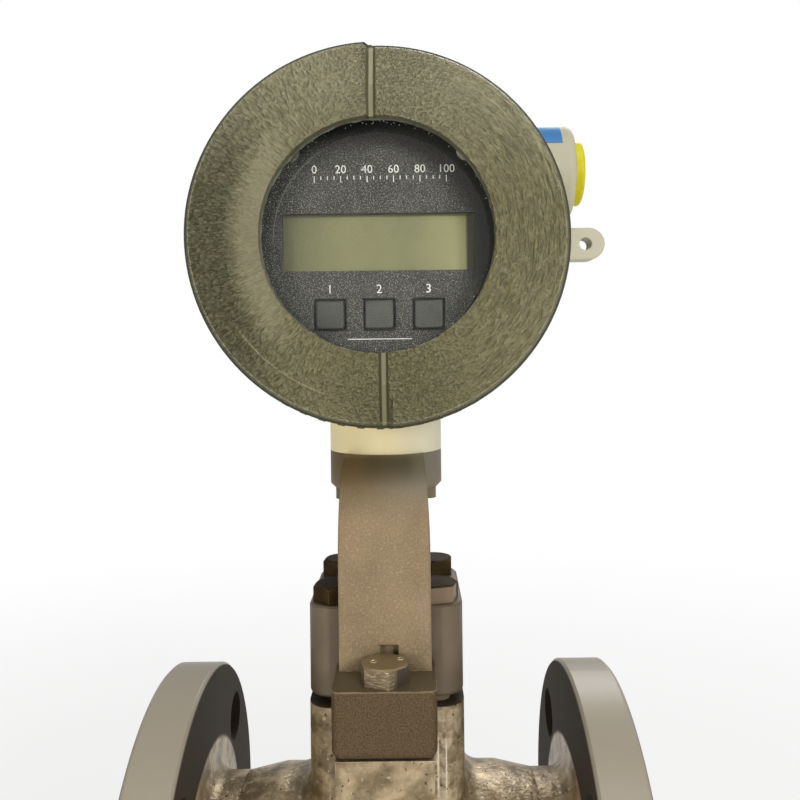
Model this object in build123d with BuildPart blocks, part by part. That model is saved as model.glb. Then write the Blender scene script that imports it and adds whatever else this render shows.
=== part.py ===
from build123d import *
from math import cos, isclose, radians, sin, sqrt

# Flanged vortex flow meter: a cast pipe body with a shedder bar across its bore, a yoke bracket
# bolted over the shedder flange, and a round two-compartment converter head on the bracket's neck.
# The pipe lies along X, the display faces -Y and the head stands up along +Z.
# The origin is the centre of the inlet flange's raised face. All sizes are in millimetres.

# Pipe and flanges, 2 inch class 150
face_to_face = 170.0
bore_radius = 25.0
flange_radius = 76.2
flange_thickness = 19.1
raised_face_height = 1.6
raised_face_clearance = 4.75
bolt_edge_distance = 15.875
bolt_hole_radius = 9.525
bolt_hole_count = 4
flange_edge_chamfer = 1.2
hub_radius = 37.0
hub_length = 12.0
hub_fillet = 5.0
barrel_radius = 40.0
barrel_length = 80.0

# Shedder seat on top of the body
pad_wall = 3.0
pad_margin = 0.25
pad_corner = 8.0
pad_height = 75.0
pad_flare = 7.0
gasket_thickness = 1.5
shedder_gap = 3.0
block_width = 53.0
block_height = 31.0
block_corner = 7.5
block_edge = 1.5
block_top_edge = 0.75
spigot_radius = 18.0
stem_radius = 12.7
stem_clearance = 0.3
bar_front = 14.0
bar_back = 6.0
bar_length = 19.0
bar_foot_gap = 2.3
bar_pin_radius = 5.0
bar_pin_length = 7.0

# Piezo sensor, its gland and the lead tube up to the neck
sensor_radius = 4.5
sensor_clearance = 0.2
sensor_head_radius = 8.0
sensor_head_height = 3.0
sensor_foot = 15.0
gland_gap = 2.35
gland_height = 12.0
lead_tube_radius = 6.0
lead_tube_wall = 1.2
lead_tube_clearance = 0.3
lead_tube_fit = 0.15
lead_tube_entry = 6.0

# Hex bolts of the shedder flange and of the bracket's feet, 3/8 inch
hex_flats = 14.3
bolt_radius = 4.76
bolt_clearance = 0.4
thread_clearance = 0.15
bolt_chamfer = 1.0
bolt_crown_inset = 0.2
drill_over = 1.0
block_head_height = 6.0
block_bolt_edge = 9.2
block_bolt_depth = 18.0
block_bolt_turns = (15.5, 15.0, 27.0, 14.0)
foot_head_height = 6.4
foot_bolt_depth = 15.0
foot_bolt_turns = (41.0, 49.0)

# Bracket, and the two ears of the body that it stands on
leg_width = 30.7
leg_top_width = 27.4
leg_thickness = 6.8
leg_clearance = 0.45
arch_flat = 1.2
taper_height = 34.0
bracket_top = 159.6
collar_radius = 20.4
collar_height = 13.6
collar_chamfer = 1.6
foot_width = 33.2
foot_depth = 17.1
foot_height = 22.1
foot_drop = 7.2
foot_round = 2.6
foot_corner = 3.6
foot_bolt_setback = 8.6
spotface_clearance = 0.85
spotface_height = 8.6
relief_width = 6.0
relief_depth = 3.5
relief_offset = 1.4
ear_inset = 1.0
ear_thickness = 17.4
ear_slope = 3.0
ear_neck = 13.0
ear_root_angle = 40.0
collar_screw_x = 14.8
collar_screw_y = 5.2
collar_screw_head_radius = 3.4
collar_screw_head_height = 3.7
collar_screw_radius = 2.0
collar_screw_grip = 8.0
socket_radius = 1.7
socket_depth = 1.85

# Converter housing
neck_height = 17.2
neck_bore_radius = 8.0
chamber_radius = 45.0
spigot_wall = 4.6
spigot_gap = 1.1
drum_shoulder = 3.9
drum_length = 76.0
drum_edge = 1.5
thread_fit = 0.35
partition_thickness = 5.0
partition_back = 3.0
boss_radius = 18.0
boss_reach = 71.95
boss_setback = 15.0
boss_rise = 33.05
boss_round = 3.0
conduit_radius = 10.5
lug_rise = 5.35
lug_reach = 84.2
lug_height = 12.2
lug_thickness = 10.0
lug_hole_radius = 2.35
lug_hole_inset = 7.3
label_thickness = 0.3
label_width = 12.6
label_inset = 5.35
label_lowest_angle = 28.0
label_sweep = 95.0

# Covers
cover_overhang = 4.3
cover_depth = 27.0
cover_gap = 0.3
bezel_width = 9.5
cone_drop = 1.0
rim_bevel_radial = 1.6
rim_bevel_axial = 2.5
ramp_drop = 3.6
ramp_angle = 98.0
ramp_lead_in = 1.2
ramp_run_out = 8.6
ramp_sections = 7
ramp_above = 0.6
ramp_overlap = 1.5
cutter_margin = 3.0
groove_wall = 0.7
groove_floor = 1.5
groove_depth = 1.8
groove_lip = 0.15
step_slope = 1.4
rib_count = 60
rib_height = 0.8
rib_width = 2.3
rib_start = 11.5
rib_length = 15.0
window_radius = 35.0
window_lip = 4.5
glass_seal_thickness = 0.6
glass_overlap = 6.0
glass_thickness = 6.8
glass_clearance = 0.3
retainer_overlap = 3.4
retainer_rim = 3.2
retainer_thickness = 3.0
retainer_notch_width = 4.0
retainer_notch_count = 4
rear_cover_wall = 6.0
o_ring_radius = 1.25
o_ring_clearance = 0.15

# Display panel, keys and liquid crystal module
panel_clearance = 1.4
panel_thickness = 2.0
panel_gap = 0.8
screen_width = 60.0
screen_height = 17.8
screen_rise = -0.6
module_margin = 3.5
module_corner = 1.0
key_pitch = 15.3
key_drop = 23.2
key_cap = 8.7
key_gap = 0.75
key_round = 0.9
key_edge = 0.45
key_proud = 0.7
key_lip = 0.7
key_flange_thickness = 0.9
key_travel = 0.8
key_rest_gap = 0.3
key_stem_radius = 1.6
switch_gap = 0.1
switch_size = 6.0
switch_height = 3.2

# Circuit boards and their pillars
board_thickness = 1.6
board_clearance = 3.5
board_flat_cut = 5.5
panel_to_board = 6.6
board_to_board = 17.4
pillar_radius = 2.8
pillar_inset = 5.1
pillar_count = 4
panel_screw_radius = 1.45
panel_screw_head_radius = 2.8
panel_screw_length = 7.0
core_size = (20.0, 13.0, 15.0)
coil_size = (12.0, 18.0, 13.0)
transformer_at = (-14.0, 14.0)
capacitor_radius = 4.0
capacitor_height = 12.0
capacitor_edge = 0.5
capacitor_places = ((12.0, 20.0), (22.0, 14.0))
chip_height = 2.4
chip_places = ((-12.0, -12.0, 14.0, 10.0), (10.0, -6.0, 12.0, 12.0), (14.0, -22.0, 9.0, 6.0))

# Terminal block in the rear compartment
block_base = (58.0, 26.0, 8.0)
base_corner = 1.5
barrier_count = 6
barrier_thickness = 2.0
barrier_height = 8.0
terminal_radius = 2.5
terminal_height = 2.6
terminal_slot = 0.9
terminal_slot_depth = 0.85
terminal_drop = 10.0
mounting_screw_radius = 2.0
mounting_screw_head_radius = 3.6
mounting_screw_head_height = 2.2
mounting_screw_inset = 5.0
ground_screw_place = (-24.0, 22.0)
ground_screw_height = 6.0

# Conduit plug
plug_head_radius = 12.4
plug_head_length = 4.0
plug_round = 1.5
plug_stem_length = 12.0
plug_clearance = 0.3
plug_wall = 1.6

# Two points closer than this are the same place
same_place = 0.01

# Places on the body and the bracket
centre_x = face_to_face / 2
centre = Plane((centre_x, 0, 0))
bolt_circle = 2 * (flange_radius - bolt_edge_distance)
raised_face_radius = bolt_circle / 2 - bolt_hole_radius - raised_face_clearance
pad_width = block_width + 2 * pad_margin
pad_root = bore_radius + pad_wall
block_base_height = pad_height + shedder_gap
block_top = block_base_height + block_height
block_bolt_pitch = block_width - 2 * block_bolt_edge
head_corner = hex_flats / sqrt(3)
gland_corner = block_bolt_pitch / sqrt(2) - head_corner - gland_gap
leg_back = pad_width / 2 + leg_clearance
leg_front = leg_back + leg_thickness
foot_front = leg_front + foot_depth
foot_base = pad_height - foot_drop
foot_top = foot_base + foot_height
foot_bolt_y = leg_front + foot_bolt_setback
spotface_radius = head_corner + spotface_clearance
arch_radius = leg_front - collar_radius - arch_flat
collar_base = bracket_top - collar_height

# Places on the head, along its own axis
thread_radius = chamber_radius + spigot_wall
drum_radius = thread_radius + drum_shoulder
cover_radius = drum_radius + cover_overhang
cover_bore = thread_radius + thread_fit
cover_seat = drum_length / 2
cover_back = cover_seat + cover_gap
cover_front = cover_back + cover_depth
crease_radius = window_radius + bezel_width
rim_flat = cover_radius - rim_bevel_radial
glass_radius = window_radius + glass_overlap
retainer_radius = glass_radius + retainer_rim
retainer_inner_radius = glass_radius - retainer_overlap
glass_front = cover_front - window_lip - glass_seal_thickness
glass_back = glass_front - glass_thickness
retainer_back = glass_back - retainer_thickness
thread_end = retainer_back - spigot_gap
panel_radius = chamber_radius - panel_clearance
panel_front = retainer_back - panel_gap
panel_back = panel_front - panel_thickness
board_front = panel_back - panel_to_board
board_back = board_front - board_thickness
amplifier_front = board_back - board_to_board
amplifier_back = amplifier_front - board_thickness
partition_front = partition_thickness - partition_back
board_radius = chamber_radius - board_clearance
board_flat = board_radius - board_flat_cut
pillar_reach = panel_radius - pillar_inset
label_end = boss_reach - label_inset
label_start = label_end - label_width
head_height = bracket_top + neck_height + drum_radius
head_level = Plane((centre_x, 0, head_height))
head_axis = Axis((centre_x, 0, head_height), (0, 1, 0))


def facing_front(distance):
    # A plane that looks at the viewer, at a distance in front of the head's centre
    return Plane((centre_x, -distance, head_height), x_dir=(1, 0, 0), z_dir=(0, -1, 0))


def facing_back(distance):
    # A plane that looks backwards, at a distance behind the head's centre
    return Plane((centre_x, distance, head_height), x_dir=(-1, 0, 0), z_dir=(0, 1, 0))


def keep(builder, label):
    builder.part.label = label
    export_step(builder.part, f"parts/{label}.step")


def rings(builder, radius):
    # The circular edges of a part that have this radius
    circles = builder.edges().filter_by(GeomType.CIRCLE)
    return circles.filter_by(lambda e: isclose(e.radius, radius, abs_tol=same_place))


def hex_bolt(head, shank_length):
    # Head on top of the XY plane, shank below it, the head's corners turned off by a cone
    crown = hex_flats / 2
    with BuildPart() as bolt:
        with BuildSketch():
            RegularPolygon(head_corner, 6)
        extrude(amount=head)
        with BuildSketch(Plane.XZ):
            with BuildLine():
                Polyline(
                    (0, 0),
                    (head_corner, 0),
                    (head_corner, head - (head_corner - crown)),
                    (crown - bolt_crown_inset, head),
                    (0, head),
                    close=True,
                )
            make_face()
        revolve(axis=Axis.Z, mode=Mode.INTERSECT)
        with BuildSketch():
            Circle(bolt_radius)
        extrude(amount=-shank_length)
        chamfer(bolt.edges().sort_by(Axis.Z)[0], bolt_chamfer)
    return bolt.part


# Cast body: pipe, flanges, barrel, shedder pad and the two ears for the bracket's feet
half_profile = [
    (0, bore_radius),
    (0, raised_face_radius),
    (raised_face_height, raised_face_radius),
    (raised_face_height, flange_radius),
    (flange_thickness, flange_radius),
    (flange_thickness, hub_radius),
    (flange_thickness + hub_length, hub_radius),
    (centre_x - barrel_length / 2, barrel_radius),
]
other_half = [(face_to_face - x, r) for x, r in reversed(half_profile)]
with BuildPart() as meter_body:
    with BuildSketch(Plane.XZ):
        with BuildLine():
            Polyline(*half_profile, *other_half, close=True)
        make_face()
    revolve(axis=Axis.X)
    chamfer(rings(meter_body, flange_radius), flange_edge_chamfer)
    hub_rings = rings(meter_body, hub_radius).sort_by(Axis.X)
    fillet([hub_rings[0], hub_rings[-1]], hub_fillet)
    with BuildSketch(centre.offset(pad_root)):
        RectangleRounded(pad_width, pad_width, pad_corner)
    extrude(amount=pad_height - pad_root)
    fillet(meter_body.edges(Select.NEW), pad_flare)
    ear_front = foot_front - ear_inset
    ear_root = (barrel_radius * cos(radians(ear_root_angle)), barrel_radius * sin(radians(ear_root_angle)))
    with BuildSketch(Plane.YZ.offset(centre_x)):
        for side in (-1, 1):
            with BuildLine():
                Polyline(
                    (0, pad_root),
                    (side * ear_root[0], ear_root[1]),
                    (side * (foot_front - ear_neck), foot_base - ear_thickness - ear_slope),
                    (side * ear_front, foot_base - ear_thickness),
                    (side * ear_front, foot_base),
                    (0, foot_base),
                    close=True,
                )
            make_face()
    extrude(amount=foot_width / 2 - ear_inset, both=True)
    for face, inward in ((0, 1), (face_to_face, -1)):
        with BuildSketch(Plane.YZ.offset(face)):
            with PolarLocations(bolt_circle / 2, bolt_hole_count, start_angle=180 / bolt_hole_count):
                Circle(bolt_hole_radius)
        extrude(amount=inward * flange_thickness, mode=Mode.SUBTRACT)
    with BuildSketch(centre.offset(pad_height)):
        Circle(stem_radius + stem_clearance)
    extrude(amount=-pad_height, mode=Mode.SUBTRACT)
    with BuildSketch(centre):
        Circle(bar_pin_radius + stem_clearance)
    extrude(amount=-(bore_radius + bar_pin_length + stem_clearance), mode=Mode.SUBTRACT)
    with BuildSketch(centre.offset(pad_height)):
        with GridLocations(block_bolt_pitch, block_bolt_pitch, 2, 2):
            Circle(bolt_radius + thread_clearance)
    extrude(amount=-(block_bolt_depth + drill_over), mode=Mode.SUBTRACT)
    with BuildSketch(centre.offset(foot_base)):
        with GridLocations(0, 2 * foot_bolt_y, 1, 2):
            Circle(bolt_radius + thread_clearance)
    extrude(amount=-(foot_bolt_depth + drill_over), mode=Mode.SUBTRACT)
keep(meter_body, "meter_body")

# Shedder: square flange, round stem and the trapezoidal bar across the bore, one piece
with BuildPart() as shedder_bar:
    with BuildSketch(centre.offset(block_base_height)):
        RectangleRounded(block_width, block_width, block_corner)
    extrude(amount=block_height)
    chamfer(shedder_bar.faces().sort_by(Axis.Z)[-1].edges(), block_top_edge)
    fillet(shedder_bar.faces().sort_by(Axis.Z)[0].edges(), block_edge)
    with BuildSketch(centre.offset(block_base_height)):
        Circle(spigot_radius)
    extrude(amount=-(shedder_gap - gasket_thickness))
    with BuildSketch(centre.offset(block_base_height)):
        Circle(stem_radius)
    extrude(amount=-(block_base_height - bore_radius))
    with BuildSketch(centre.offset(bore_radius)):
        with BuildLine():
            Polyline(
                (-bar_length / 2, -bar_front / 2),
                (bar_length / 2, -bar_back / 2),
                (bar_length / 2, bar_back / 2),
                (-bar_length / 2, bar_front / 2),
                close=True,
            )
        make_face()
    extrude(amount=-(2 * bore_radius - bar_foot_gap))
    with BuildSketch(centre):
        Circle(bar_pin_radius)
    extrude(amount=-(bore_radius + bar_pin_length))
    with BuildSketch(centre.offset(block_top)):
        with GridLocations(block_bolt_pitch, block_bolt_pitch, 2, 2):
            Circle(bolt_radius + bolt_clearance)
    extrude(amount=-block_height, mode=Mode.SUBTRACT)
    with BuildSketch(centre.offset(block_top)):
        Circle(sensor_radius + sensor_clearance)
    extrude(amount=-(block_top - sensor_foot + sensor_clearance), mode=Mode.SUBTRACT)
keep(shedder_bar, "shedder_bar")

with BuildPart() as shedder_gasket:
    with BuildSketch(centre.offset(pad_height)):
        Circle(spigot_radius)
        Circle(stem_radius + stem_clearance, mode=Mode.SUBTRACT)
    extrude(amount=gasket_thickness)
keep(shedder_gasket, "shedder_gasket")

# Four hex bolts, each stopped at its own angle
block_bolt = hex_bolt(block_head_height, block_height + shedder_gap + block_bolt_depth)
bolt_half_pitch = block_bolt_pitch / 2
with BuildPart() as shedder_bolts:
    for (along, across), turn in zip(((-1, -1), (1, -1), (1, 1), (-1, 1)), block_bolt_turns):
        place = (centre_x + along * bolt_half_pitch, across * bolt_half_pitch, block_top)
        with Locations(Location(place, (0, 0, turn))):
            add(block_bolt)
keep(shedder_bolts, "shedder_bolts")

# Piezo sensor down the stem, with a disc head on the flange
with BuildPart() as piezo_sensor:
    with BuildSketch(centre.offset(sensor_foot)):
        Circle(sensor_radius)
    extrude(amount=block_top - sensor_foot)
    with BuildSketch(centre.offset(block_top)):
        Circle(sensor_head_radius)
    extrude(amount=sensor_head_height)
keep(piezo_sensor, "piezo_sensor")

with BuildPart() as sensor_gland:
    with BuildSketch(centre.offset(block_top)):
        RegularPolygon(gland_corner, 6)
        Circle(sensor_head_radius + sensor_clearance, mode=Mode.SUBTRACT)
    extrude(amount=sensor_head_height)
    with BuildSketch(centre.offset(block_top + sensor_head_height)):
        RegularPolygon(gland_corner, 6)
        Circle(lead_tube_radius + lead_tube_fit, mode=Mode.SUBTRACT)
    extrude(amount=gland_height - sensor_head_height)
    chamfer(sensor_gland.faces().sort_by(Axis.Z)[-1].outer_wire().edges(), bolt_chamfer)
keep(sensor_gland, "sensor_gland")

with BuildPart() as lead_tube:
    with BuildSketch(centre.offset(block_top + sensor_head_height)):
        Circle(lead_tube_radius)
        Circle(lead_tube_radius - lead_tube_wall, mode=Mode.SUBTRACT)
    extrude(amount=collar_base + lead_tube_entry - block_top - sensor_head_height)
keep(lead_tube, "lead_tube")

# Yoke bracket: an arch seen from the side, narrowed towards its top, with a collar and two feet
with BuildPart() as bracket:
    with BuildSketch(Plane.YZ.offset(centre_x)):
        with BuildLine():
            FilletPolyline(
                (-leg_front, foot_base),
                (-leg_front, bracket_top),
                (leg_front, bracket_top),
                (leg_front, foot_base),
                radius=arch_radius,
            )
            Line((leg_front, foot_base), (-leg_front, foot_base))
        make_face()
        with BuildLine(mode=Mode.PRIVATE) as inside:
            FilletPolyline(
                (-leg_back, foot_base - cutter_margin),
                (-leg_back, bracket_top - leg_thickness),
                (leg_back, bracket_top - leg_thickness),
                (leg_back, foot_base - cutter_margin),
                radius=arch_radius - leg_thickness,
            )
            Line((leg_back, foot_base - cutter_margin), (-leg_back, foot_base - cutter_margin))
        make_face(inside.edges(), mode=Mode.SUBTRACT)
    extrude(amount=leg_width / 2, both=True)
    with BuildSketch(Plane((centre_x, 0, 0), x_dir=(1, 0, 0), z_dir=(0, -1, 0))):
        with BuildLine():
            left = Line((-leg_width / 2, foot_base), (-leg_width / 2, bracket_top - taper_height))
            left_taper = TangentArc(left @ 1, (-leg_top_width / 2, bracket_top), tangent=(0, 1))
            top = Line(left_taper @ 1, (leg_top_width / 2, bracket_top))
            TangentArc((leg_width / 2, bracket_top - taper_height), top @ 1, tangent=(0, 1))
            right = Line((leg_width / 2, bracket_top - taper_height), (leg_width / 2, foot_base))
            Line(right @ 1, left @ 0)
        make_face()
    extrude(amount=2 * leg_front, both=True, mode=Mode.INTERSECT)
    with BuildSketch(centre.offset(foot_base)):
        for side in (-1, 1):
            with Locations((0, side * (foot_front + leg_back) / 2)):
                Rectangle(foot_width, foot_front - leg_back)
    extrude(amount=foot_height)
    upright = bracket.edges().filter_by(Axis.Z).group_by(Axis.Y)
    fillet(upright[0] + upright[-1], foot_round)
    under_edges = bracket.edges().filter_by(Axis.Y).group_by(Axis.Z)[0].group_by(Axis.X)
    fillet(under_edges[0] + under_edges[-1], foot_corner)
    with BuildSketch(centre.offset(collar_base)):
        Circle(collar_radius)
    extrude(amount=collar_height)
    chamfer(rings(bracket, collar_radius).group_by(Axis.Z)[0], collar_chamfer)
    with BuildSketch(centre.offset(bracket_top)):
        Circle(lead_tube_radius + lead_tube_clearance)
        with GridLocations(2 * collar_screw_x, 2 * collar_screw_y, 2, 2):
            Circle(collar_screw_radius + thread_clearance)
    extrude(amount=-collar_height, mode=Mode.SUBTRACT)
    with BuildSketch(centre.offset(foot_top)):
        with GridLocations(0, 2 * foot_bolt_y, 1, 2):
            Circle(bolt_radius + bolt_clearance)
    extrude(amount=-foot_height, mode=Mode.SUBTRACT)
    with BuildSketch(centre.offset(foot_top)):
        with GridLocations(0, 2 * foot_bolt_y, 1, 2):
            Circle(spotface_radius)
        with Locations((relief_offset, -leg_front), (-relief_offset, leg_front)):
            Rectangle(relief_width, 2 * relief_depth)
    extrude(amount=spotface_height, mode=Mode.SUBTRACT)
keep(bracket, "bracket")

foot_bolt = hex_bolt(foot_head_height, foot_height + foot_bolt_depth)
with BuildPart() as foot_bolts:
    for side, turn in zip((-1, 1), foot_bolt_turns):
        with Locations(Location((centre_x, side * foot_bolt_y, foot_top), (0, 0, turn))):
            add(foot_bolt)
keep(foot_bolts, "foot_bolts")

# Cap screws that hold the neck on the collar from below
with BuildPart() as collar_screws:
    with BuildSketch(centre.offset(collar_base)):
        with GridLocations(2 * collar_screw_x, 2 * collar_screw_y, 2, 2):
            Circle(collar_screw_head_radius)
    extrude(amount=-collar_screw_head_height)
    with BuildSketch(centre.offset(collar_base)):
        with GridLocations(2 * collar_screw_x, 2 * collar_screw_y, 2, 2):
            Circle(collar_screw_radius)
    extrude(amount=collar_height + collar_screw_grip)
    with BuildSketch(centre.offset(collar_base - collar_screw_head_height)):
        with GridLocations(2 * collar_screw_x, 2 * collar_screw_y, 2, 2):
            RegularPolygon(socket_radius, 6)
    extrude(amount=socket_depth, mode=Mode.SUBTRACT)
keep(collar_screws, "collar_screws")

# Housing: drum with a threaded spigot at each end, a partition, neck, conduit boss and lug
boss_plane = Plane((centre_x, boss_setback, head_height + boss_rise), x_dir=(0, 1, 0), z_dir=(1, 0, 0))
with BuildPart() as housing:
    with BuildSketch(head_level):
        with BuildLine():
            Polyline(
                (0, -thread_end),
                (thread_radius, -thread_end),
                (thread_radius, -cover_seat),
                (drum_radius - drum_edge, -cover_seat),
                (drum_radius, -cover_seat + drum_edge),
                (drum_radius, cover_seat - drum_edge),
                (drum_radius - drum_edge, cover_seat),
                (thread_radius, cover_seat),
                (thread_radius, thread_end),
                (0, thread_end),
                close=True,
            )
        make_face()
    revolve(axis=head_axis)
    with BuildSketch(centre.offset(bracket_top)):
        Circle(collar_radius)
    extrude(amount=head_height - bracket_top)
    with BuildSketch(boss_plane):
        Circle(boss_radius)
    extrude(amount=boss_reach)
    fillet(rings(housing, boss_radius).sort_by(Axis.X)[-1], boss_round)
    with BuildSketch(Plane.XZ.offset(-boss_setback)):
        with Locations((centre_x, head_height + lug_rise)):
            with Locations(((lug_reach - lug_height / 2) / 2, 0)):
                Rectangle(lug_reach - lug_height / 2, lug_height)
            with Locations((lug_reach - lug_height / 2, 0)):
                Circle(lug_height / 2)
    extrude(amount=lug_thickness / 2, both=True)
    for front, back in ((-cover_front, -partition_front), (partition_back, cover_front)):
        with BuildSketch(facing_back(front)):
            Circle(chamber_radius)
        extrude(amount=back - front, mode=Mode.SUBTRACT)
    with BuildSketch(Plane.XZ.offset(-boss_setback)):
        with Locations((centre_x + lug_reach - lug_hole_inset, head_height + lug_rise)):
            Circle(lug_hole_radius)
    extrude(amount=lug_thickness, both=True, mode=Mode.SUBTRACT)
    with BuildSketch(boss_plane):
        Circle(conduit_radius)
    extrude(amount=boss_reach, mode=Mode.SUBTRACT)
    with BuildSketch(centre.offset(bracket_top)):
        Circle(neck_bore_radius)
    extrude(amount=head_height - bracket_top - chamber_radius + cutter_margin, mode=Mode.SUBTRACT)
    with BuildSketch(centre.offset(bracket_top)):
        with GridLocations(2 * collar_screw_x, 2 * collar_screw_y, 2, 2):
            Circle(collar_screw_radius + thread_clearance)
    extrude(amount=collar_screw_grip + drill_over, mode=Mode.SUBTRACT)
keep(housing, "housing")

# Strip label round the top of the conduit boss
with BuildPart() as boss_label:
    with BuildSketch(boss_plane.offset(label_start)):
        Circle(boss_radius + label_thickness)
        Circle(boss_radius, mode=Mode.SUBTRACT)
        with BuildLine(mode=Mode.PRIVATE) as fan:
            reach = 2 * boss_radius
            first = radians(180 - label_lowest_angle)
            last = radians(180 - label_lowest_angle - label_sweep)
            Polyline(
                (0, 0),
                (reach * cos(first), reach * sin(first)),
                (reach * cos((first + last) / 2), reach * sin((first + last) / 2)),
                (reach * cos(last), reach * sin(last)),
                close=True,
            )
        make_face(fan.edges(), mode=Mode.INTERSECT)
    extrude(amount=label_end - label_start)
keep(boss_label, "boss_label")

# Hollow push-in plug in the conduit entry
with BuildPart() as conduit_plug:
    with BuildSketch(boss_plane.offset(boss_reach)):
        Circle(plug_head_radius)
    extrude(amount=plug_head_length)
    fillet(conduit_plug.faces().sort_by(Axis.X)[-1].edges(), plug_round)
    with BuildSketch(boss_plane.offset(boss_reach)):
        Circle(conduit_radius - plug_clearance)
    extrude(amount=-plug_stem_length)
    with BuildSketch(boss_plane.offset(boss_reach - plug_stem_length)):
        Circle(conduit_radius - plug_clearance - plug_wall)
    extrude(amount=plug_stem_length + plug_head_length - plug_wall, mode=Mode.SUBTRACT)
keep(conduit_plug, "conduit_plug")


def cover_blank(inner_profile):
    # One screwed cover on the +Z axis, front face up at its true depth: a revolved shell whose face
    # falls away outside the crease, then two ramps that set the rim back and two grooves at their feet
    with BuildPart() as blank:
        with BuildSketch(Plane.XZ):
            with BuildLine():
                Polyline(
                    *inner_profile,
                    (crease_radius, cover_front),
                    (rim_flat, cover_front - cone_drop),
                    (cover_radius, cover_front - cone_drop - rim_bevel_axial),
                    (cover_radius, cover_back),
                    close=True,
                )
            make_face()
        revolve(axis=Axis.Z)
        with BuildSketch(Plane.XY.offset(cover_front - rib_start)):
            with PolarLocations(cover_radius, rib_count):
                Rectangle(2 * rib_height, rib_width)
        extrude(amount=-rib_length)
        for half in (0, 180):
            add(ramp.part.rotate(Axis.Z, half), mode=Mode.SUBTRACT)
            add(groove.part.rotate(Axis.Z, half), mode=Mode.SUBTRACT)
    return blank.part


# Ramp cutter: a wedge that runs clockwise from the groove and rises out of the face as it goes,
# bevelled at the rim as steeply as the uncut rim is
bevel_slope = rim_bevel_axial / rim_bevel_radial
ramp_outer = cover_radius + cutter_margin
ramp_inner = crease_radius - ramp_overlap
ramp_turn = ramp_lead_in + ramp_angle + ramp_run_out
with BuildPart() as ramp:
    for step in range(ramp_sections):
        turned = ramp_turn * step / (ramp_sections - 1) - ramp_lead_in
        drop = cone_drop + ramp_drop * (1 - max(turned, 0) / ramp_angle)
        angle = radians(90 - turned)
        outward = (cos(angle), sin(angle), 0)
        onward = (sin(angle), -cos(angle), 0)
        with BuildSketch(Plane((0, 0, cover_front), x_dir=outward, z_dir=onward)):
            with BuildLine():
                Polyline(
                    (ramp_inner, cutter_margin),
                    (ramp_inner, ramp_above),
                    (rim_flat, -drop),
                    (ramp_outer, -drop - bevel_slope * (ramp_outer - rim_flat)),
                    (ramp_outer, cutter_margin),
                    close=True,
                )
            make_face()
    loft()

# Groove cutter: a channel of even depth at the ramp's foot, then a wall that climbs to the uncut face.
# Each station is its distance from the diameter, its depth, and 1 where it has reached the uncut face
stations = (
    (0, groove_lip, 0),
    (groove_wall, groove_depth, 0),
    (groove_wall + groove_floor, groove_depth, 0),
    (2 * groove_wall + groove_floor, groove_lip, 0),
    (2 * groove_wall + groove_floor + step_slope, 0, 1),
)
with BuildPart() as groove:
    for near, far in zip(stations, stations[1:]):
        for x, depth, climbed in (near, far):
            inner_floor = cover_front - depth
            outer_floor = cover_front - depth - cone_drop - ramp_drop * (1 - climbed)
            with BuildSketch(Plane.YZ.offset(-x)):
                with BuildLine():
                    Polyline(
                        (window_radius - cutter_margin, cover_front + cutter_margin),
                        (window_radius - cutter_margin, inner_floor),
                        (crease_radius, inner_floor),
                        (cover_radius, outer_floor),
                        (ramp_outer, outer_floor),
                        (ramp_outer, cover_front + cutter_margin),
                        close=True,
                    )
                make_face()
        loft(ruled=True)

seal_depth = 2 * o_ring_radius + 2 * o_ring_clearance
seal_pocket = thread_radius + seal_depth
thread_profile = [
    (cover_bore, retainer_back),
    (cover_bore, cover_back + seal_depth),
    (seal_pocket, cover_back + seal_depth),
    (seal_pocket, cover_back),
]
window_profile = [
    (retainer_radius + glass_clearance, retainer_back),
    (retainer_radius + glass_clearance, glass_back),
    (glass_radius + glass_clearance, glass_back),
    (glass_radius + glass_clearance, cover_front - window_lip),
    (window_radius, cover_front - window_lip),
    (window_radius, cover_front),
]
window_shell = cover_blank([*reversed(thread_profile), *window_profile])
with BuildPart() as front_cover:
    with Locations(facing_front(0).location):
        add(window_shell)
keep(front_cover, "front_cover")

closed_profile = [
    (cover_bore, cover_front - rear_cover_wall),
    (0, cover_front - rear_cover_wall),
    (0, cover_front),
]
closed_shell = cover_blank([*reversed(thread_profile[1:]), *closed_profile])
with BuildPart() as rear_cover:
    with Locations(facing_back(0).location):
        add(closed_shell)
keep(rear_cover, "rear_cover")

for name, side in (("front_o_ring", -1), ("rear_o_ring", 1)):
    with BuildPart() as o_ring:
        with BuildSketch(head_level):
            with Locations((
                thread_radius + o_ring_clearance + o_ring_radius,
                side * (cover_back + o_ring_clearance + o_ring_radius),
            )):
                Circle(o_ring_radius)
        revolve(axis=head_axis)
    keep(o_ring, name)

# Window: seal behind the lip, thick glass disc, notched retaining ring
with BuildPart() as glass_seal:
    with BuildSketch(facing_front(glass_front)):
        Circle(glass_radius)
        Circle(window_radius + glass_seal_thickness, mode=Mode.SUBTRACT)
    extrude(amount=glass_seal_thickness)
keep(glass_seal, "glass_seal")

with BuildPart() as window_glass:
    with BuildSketch(facing_front(glass_back)):
        Circle(glass_radius)
    extrude(amount=glass_thickness)
keep(window_glass, "window_glass")

with BuildPart() as glass_retainer:
    with BuildSketch(facing_front(retainer_back)):
        Circle(retainer_radius)
        Circle(retainer_inner_radius, mode=Mode.SUBTRACT)
        with PolarLocations(retainer_inner_radius, retainer_notch_count):
            Rectangle(retainer_notch_width, retainer_notch_width, mode=Mode.SUBTRACT)
    extrude(amount=retainer_thickness)
keep(glass_retainer, "glass_retainer")

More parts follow.
